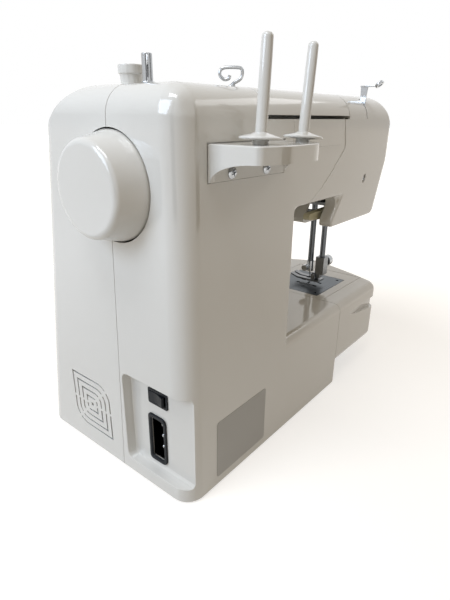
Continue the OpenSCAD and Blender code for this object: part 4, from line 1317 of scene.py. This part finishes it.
DIALS = [
    ("selector_dial", CONTROL_X, SELECTOR_Z, 21, 13, 3.6, 6.5, "12345678", 2.4),
    ("length_dial", CONTROL_X, LENGTH_Z, 15, 12, 3.6, 6.5, "01234", 2.0),
    ("tension_dial", TENSION_X, TENSION_Z, 13, 10, 3.2, 0, "0123456789", 1.9),
]
for node_name, x, z, radius, height, stem, bar_height, labels, size in DIALS:
    spot = front_frame(x, z)
    piece(node_name + "_ridged", lambda bm: dial_shape(bm, spot, radius, height, stem, bar_height),
          "ivory_plastic", node_name, (node_name,), edge=0, sharp=32)
    if bar_height:
        print_numbers(node_name + "_print", spot, labels, radius - 2.1, height * 0.4 + 0.6, size, node_name)
    else:
        print_numbers(node_name + "_print", spot, labels, radius * 0.62, height, size, node_name)
print("dials ready")

# %% [markdown]
# ### Working parts
#
# The rest keeps the solids of the working parts, which already have their true shapes. Only their
# edges change.

# %% Working parts with broken edges
SOFT_EDGES = {
    "free_arm_cover": 0.8, "shuttle_cover": 0.5, "needle_plate": 0.35, "feed_dog": 0.15, "needle_clamp": 0.3,
    "foot_holder": 0.5, "foot_screw": 0.5, "foot_sole": 0.3, "presser_lifter": 1.2, "thread_cutter": 0.3,
    "take_up_lever": 0.4, "needle_bar": 0.3, "presser_bar": 0.3, "carry_handle": 0.6,
    "rubber_feet": 0.6, "base_plate": 0.4, "reverse_lever": 1.2,
}
for node_name, edge in SOFT_EDGES.items():
    made = soften(node_name, edge)
    print(node_name, len(made.data.polygons), "faces")

# %% [markdown]
# ## Studio
#
# The floor and the backdrop are white to the camera and in mirror reflections, but to the light
# they are only pale, so they don't wash the machine out. The key light is a large soft window at
# the right end's side; the back stays in its own shade.

# %% Floor
def pale_floor():
    bm = bmesh.new()
    bmesh.ops.create_circle(bm, cap_ends=True, segments=64, radius=14)
    return to_object(bm, "floor")


FLOOR_GLOW = 0.62


def floor_finish():
    """Pale paint that the camera sees a little brighter, and pure white far from the machine."""
    material = bpy.data.materials.new("floor_paint")
    material.use_nodes = True
    tree = material.node_tree
    paint = tree.nodes["Principled BSDF"]
    paint.inputs["Base Color"].default_value = (0.56, 0.53, 0.485, 1)
    paint.inputs["Roughness"].default_value = 0.9
    where = add(tree, "ShaderNodeTexCoord")
    distance = add(tree, "ShaderNodeVectorMath", operation="LENGTH")
    tree.links.new(where.outputs["Object"], distance.inputs[0])
    far = add(tree, "ShaderNodeMapRange")
    far.inputs["From Min"].default_value = 0.28
    far.inputs["From Max"].default_value = 0.75
    far.inputs["To Min"].default_value = FLOOR_GLOW
    far.inputs["To Max"].default_value = 1.0
    tree.links.new(distance.outputs["Value"], far.inputs["Value"])
    seen = add(tree, "ShaderNodeLightPath")
    shown = add(tree, "ShaderNodeMath", operation="MAXIMUM")
    tree.links.new(seen.outputs["Is Camera Ray"], shown.inputs[0])
    tree.links.new(seen.outputs["Is Glossy Ray"], shown.inputs[1])
    glow = add(tree, "ShaderNodeMath", operation="MULTIPLY")
    tree.links.new(far.outputs["Result"], glow.inputs[0])
    tree.links.new(shown.outputs[0], glow.inputs[1])
    paint.inputs["Emission Color"].default_value = (1, 1, 1, 1)
    tree.links.new(glow.outputs[0], paint.inputs["Emission Strength"])
    return material


floor = pale_floor()
floor.data.materials.append(floor_finish())
print("floor ready")

# %% World and lamps
WARM_SHADE = (1.0, 0.83, 0.60, 1)
world = bpy.data.worlds.new("studio")
bpy.context.scene.world = world
world.use_nodes = True
nodes, links = world.node_tree.nodes, world.node_tree.links
background = nodes["Background"]
background.inputs["Color"].default_value = WARM_SHADE
background.inputs["Strength"].default_value = 0.33
white = nodes.new("ShaderNodeBackground")
white.inputs["Color"].default_value = (1, 1, 1, 1)
white.inputs["Strength"].default_value = 1.0
ray = nodes.new("ShaderNodeLightPath")
camera_or_mirror = nodes.new("ShaderNodeMath")
camera_or_mirror.operation = "MAXIMUM"
links.new(ray.outputs["Is Camera Ray"], camera_or_mirror.inputs[0])
links.new(ray.outputs["Is Glossy Ray"], camera_or_mirror.inputs[1])
any_clear_view = nodes.new("ShaderNodeMath")
any_clear_view.operation = "MAXIMUM"
links.new(camera_or_mirror.outputs[0], any_clear_view.inputs[0])
links.new(ray.outputs["Is Transmission Ray"], any_clear_view.inputs[1])
choice = nodes.new("ShaderNodeMixShader")
links.new(any_clear_view.outputs[0], choice.inputs["Fac"])
links.new(background.outputs[0], choice.inputs[1])
links.new(white.outputs[0], choice.inputs[2])
links.new(choice.outputs[0], nodes["World Output"].inputs["Surface"])


def soft_lamp(name, place_at, target, size, power, colour):
    light = bpy.data.lights.new(name, "AREA")
    light.shape = "RECTANGLE"
    light.size, light.size_y = size
    light.energy = power
    light.color = colour
    lamp_object = bpy.data.objects.new(name, light)
    aim_at = (Vector(target) - Vector(place_at)).to_track_quat("-Z", "Y")
    lamp_object.matrix_world = Matrix.Translation(place_at) @ aim_at.to_matrix().to_4x4()
    bpy.context.scene.collection.objects.link(lamp_object)
    return lamp_object


soft_lamp("window_light", (1.15, -0.30, 0.85), (0.15, 0, 0.2), (0.7, 0.7), 9.6, (0.73, 0.86, 1.04))
soft_lamp("ceiling_light", (0.42, 0.05, 1.0), (0.12, 0, 0.25), (0.5, 0.3), 3.1, (0.93, 0.96, 1.0))
soft_lamp("back_strip", (-0.9, 0.62, 1.05), (0, 0.05, 0.28), (1.2, 0.25), 1.5, (0.97, 0.98, 1.0))


def dark_card(name, heading, distance, width, height):
    """A dark flag that only mirror reflections see; it gives bright metal its dark bands."""
    bm = bmesh.new()
    middle = Vector((math.cos(math.radians(heading)), math.sin(math.radians(heading)), 0)) * distance
    side = Vector((-middle.y, middle.x, 0)).normalized() * width / 2
    up = Vector((0, 0, height))
    corners = (middle - side, middle + side, middle + side + up, middle - side + up)
    bm.faces.new([bm.verts.new(c) for c in corners])
    card = to_object(bm, name)
    paint = bpy.data.materials.new(name)
    paint.use_nodes = True
    paint.node_tree.nodes["Principled BSDF"].inputs["Base Color"].default_value = (0.03, 0.03, 0.03, 1)
    card.data.materials.append(paint)
    card.visible_camera = card.visible_diffuse = card.visible_shadow = False
    return card


dark_card("dark_card_side", 20, 1.2, 0.30, 1.2)
dark_card("dark_card_back", 115, 0.9, 0.35, 1.0)
bpy.context.scene.view_settings.view_transform = "Standard"
print("lamps ready")
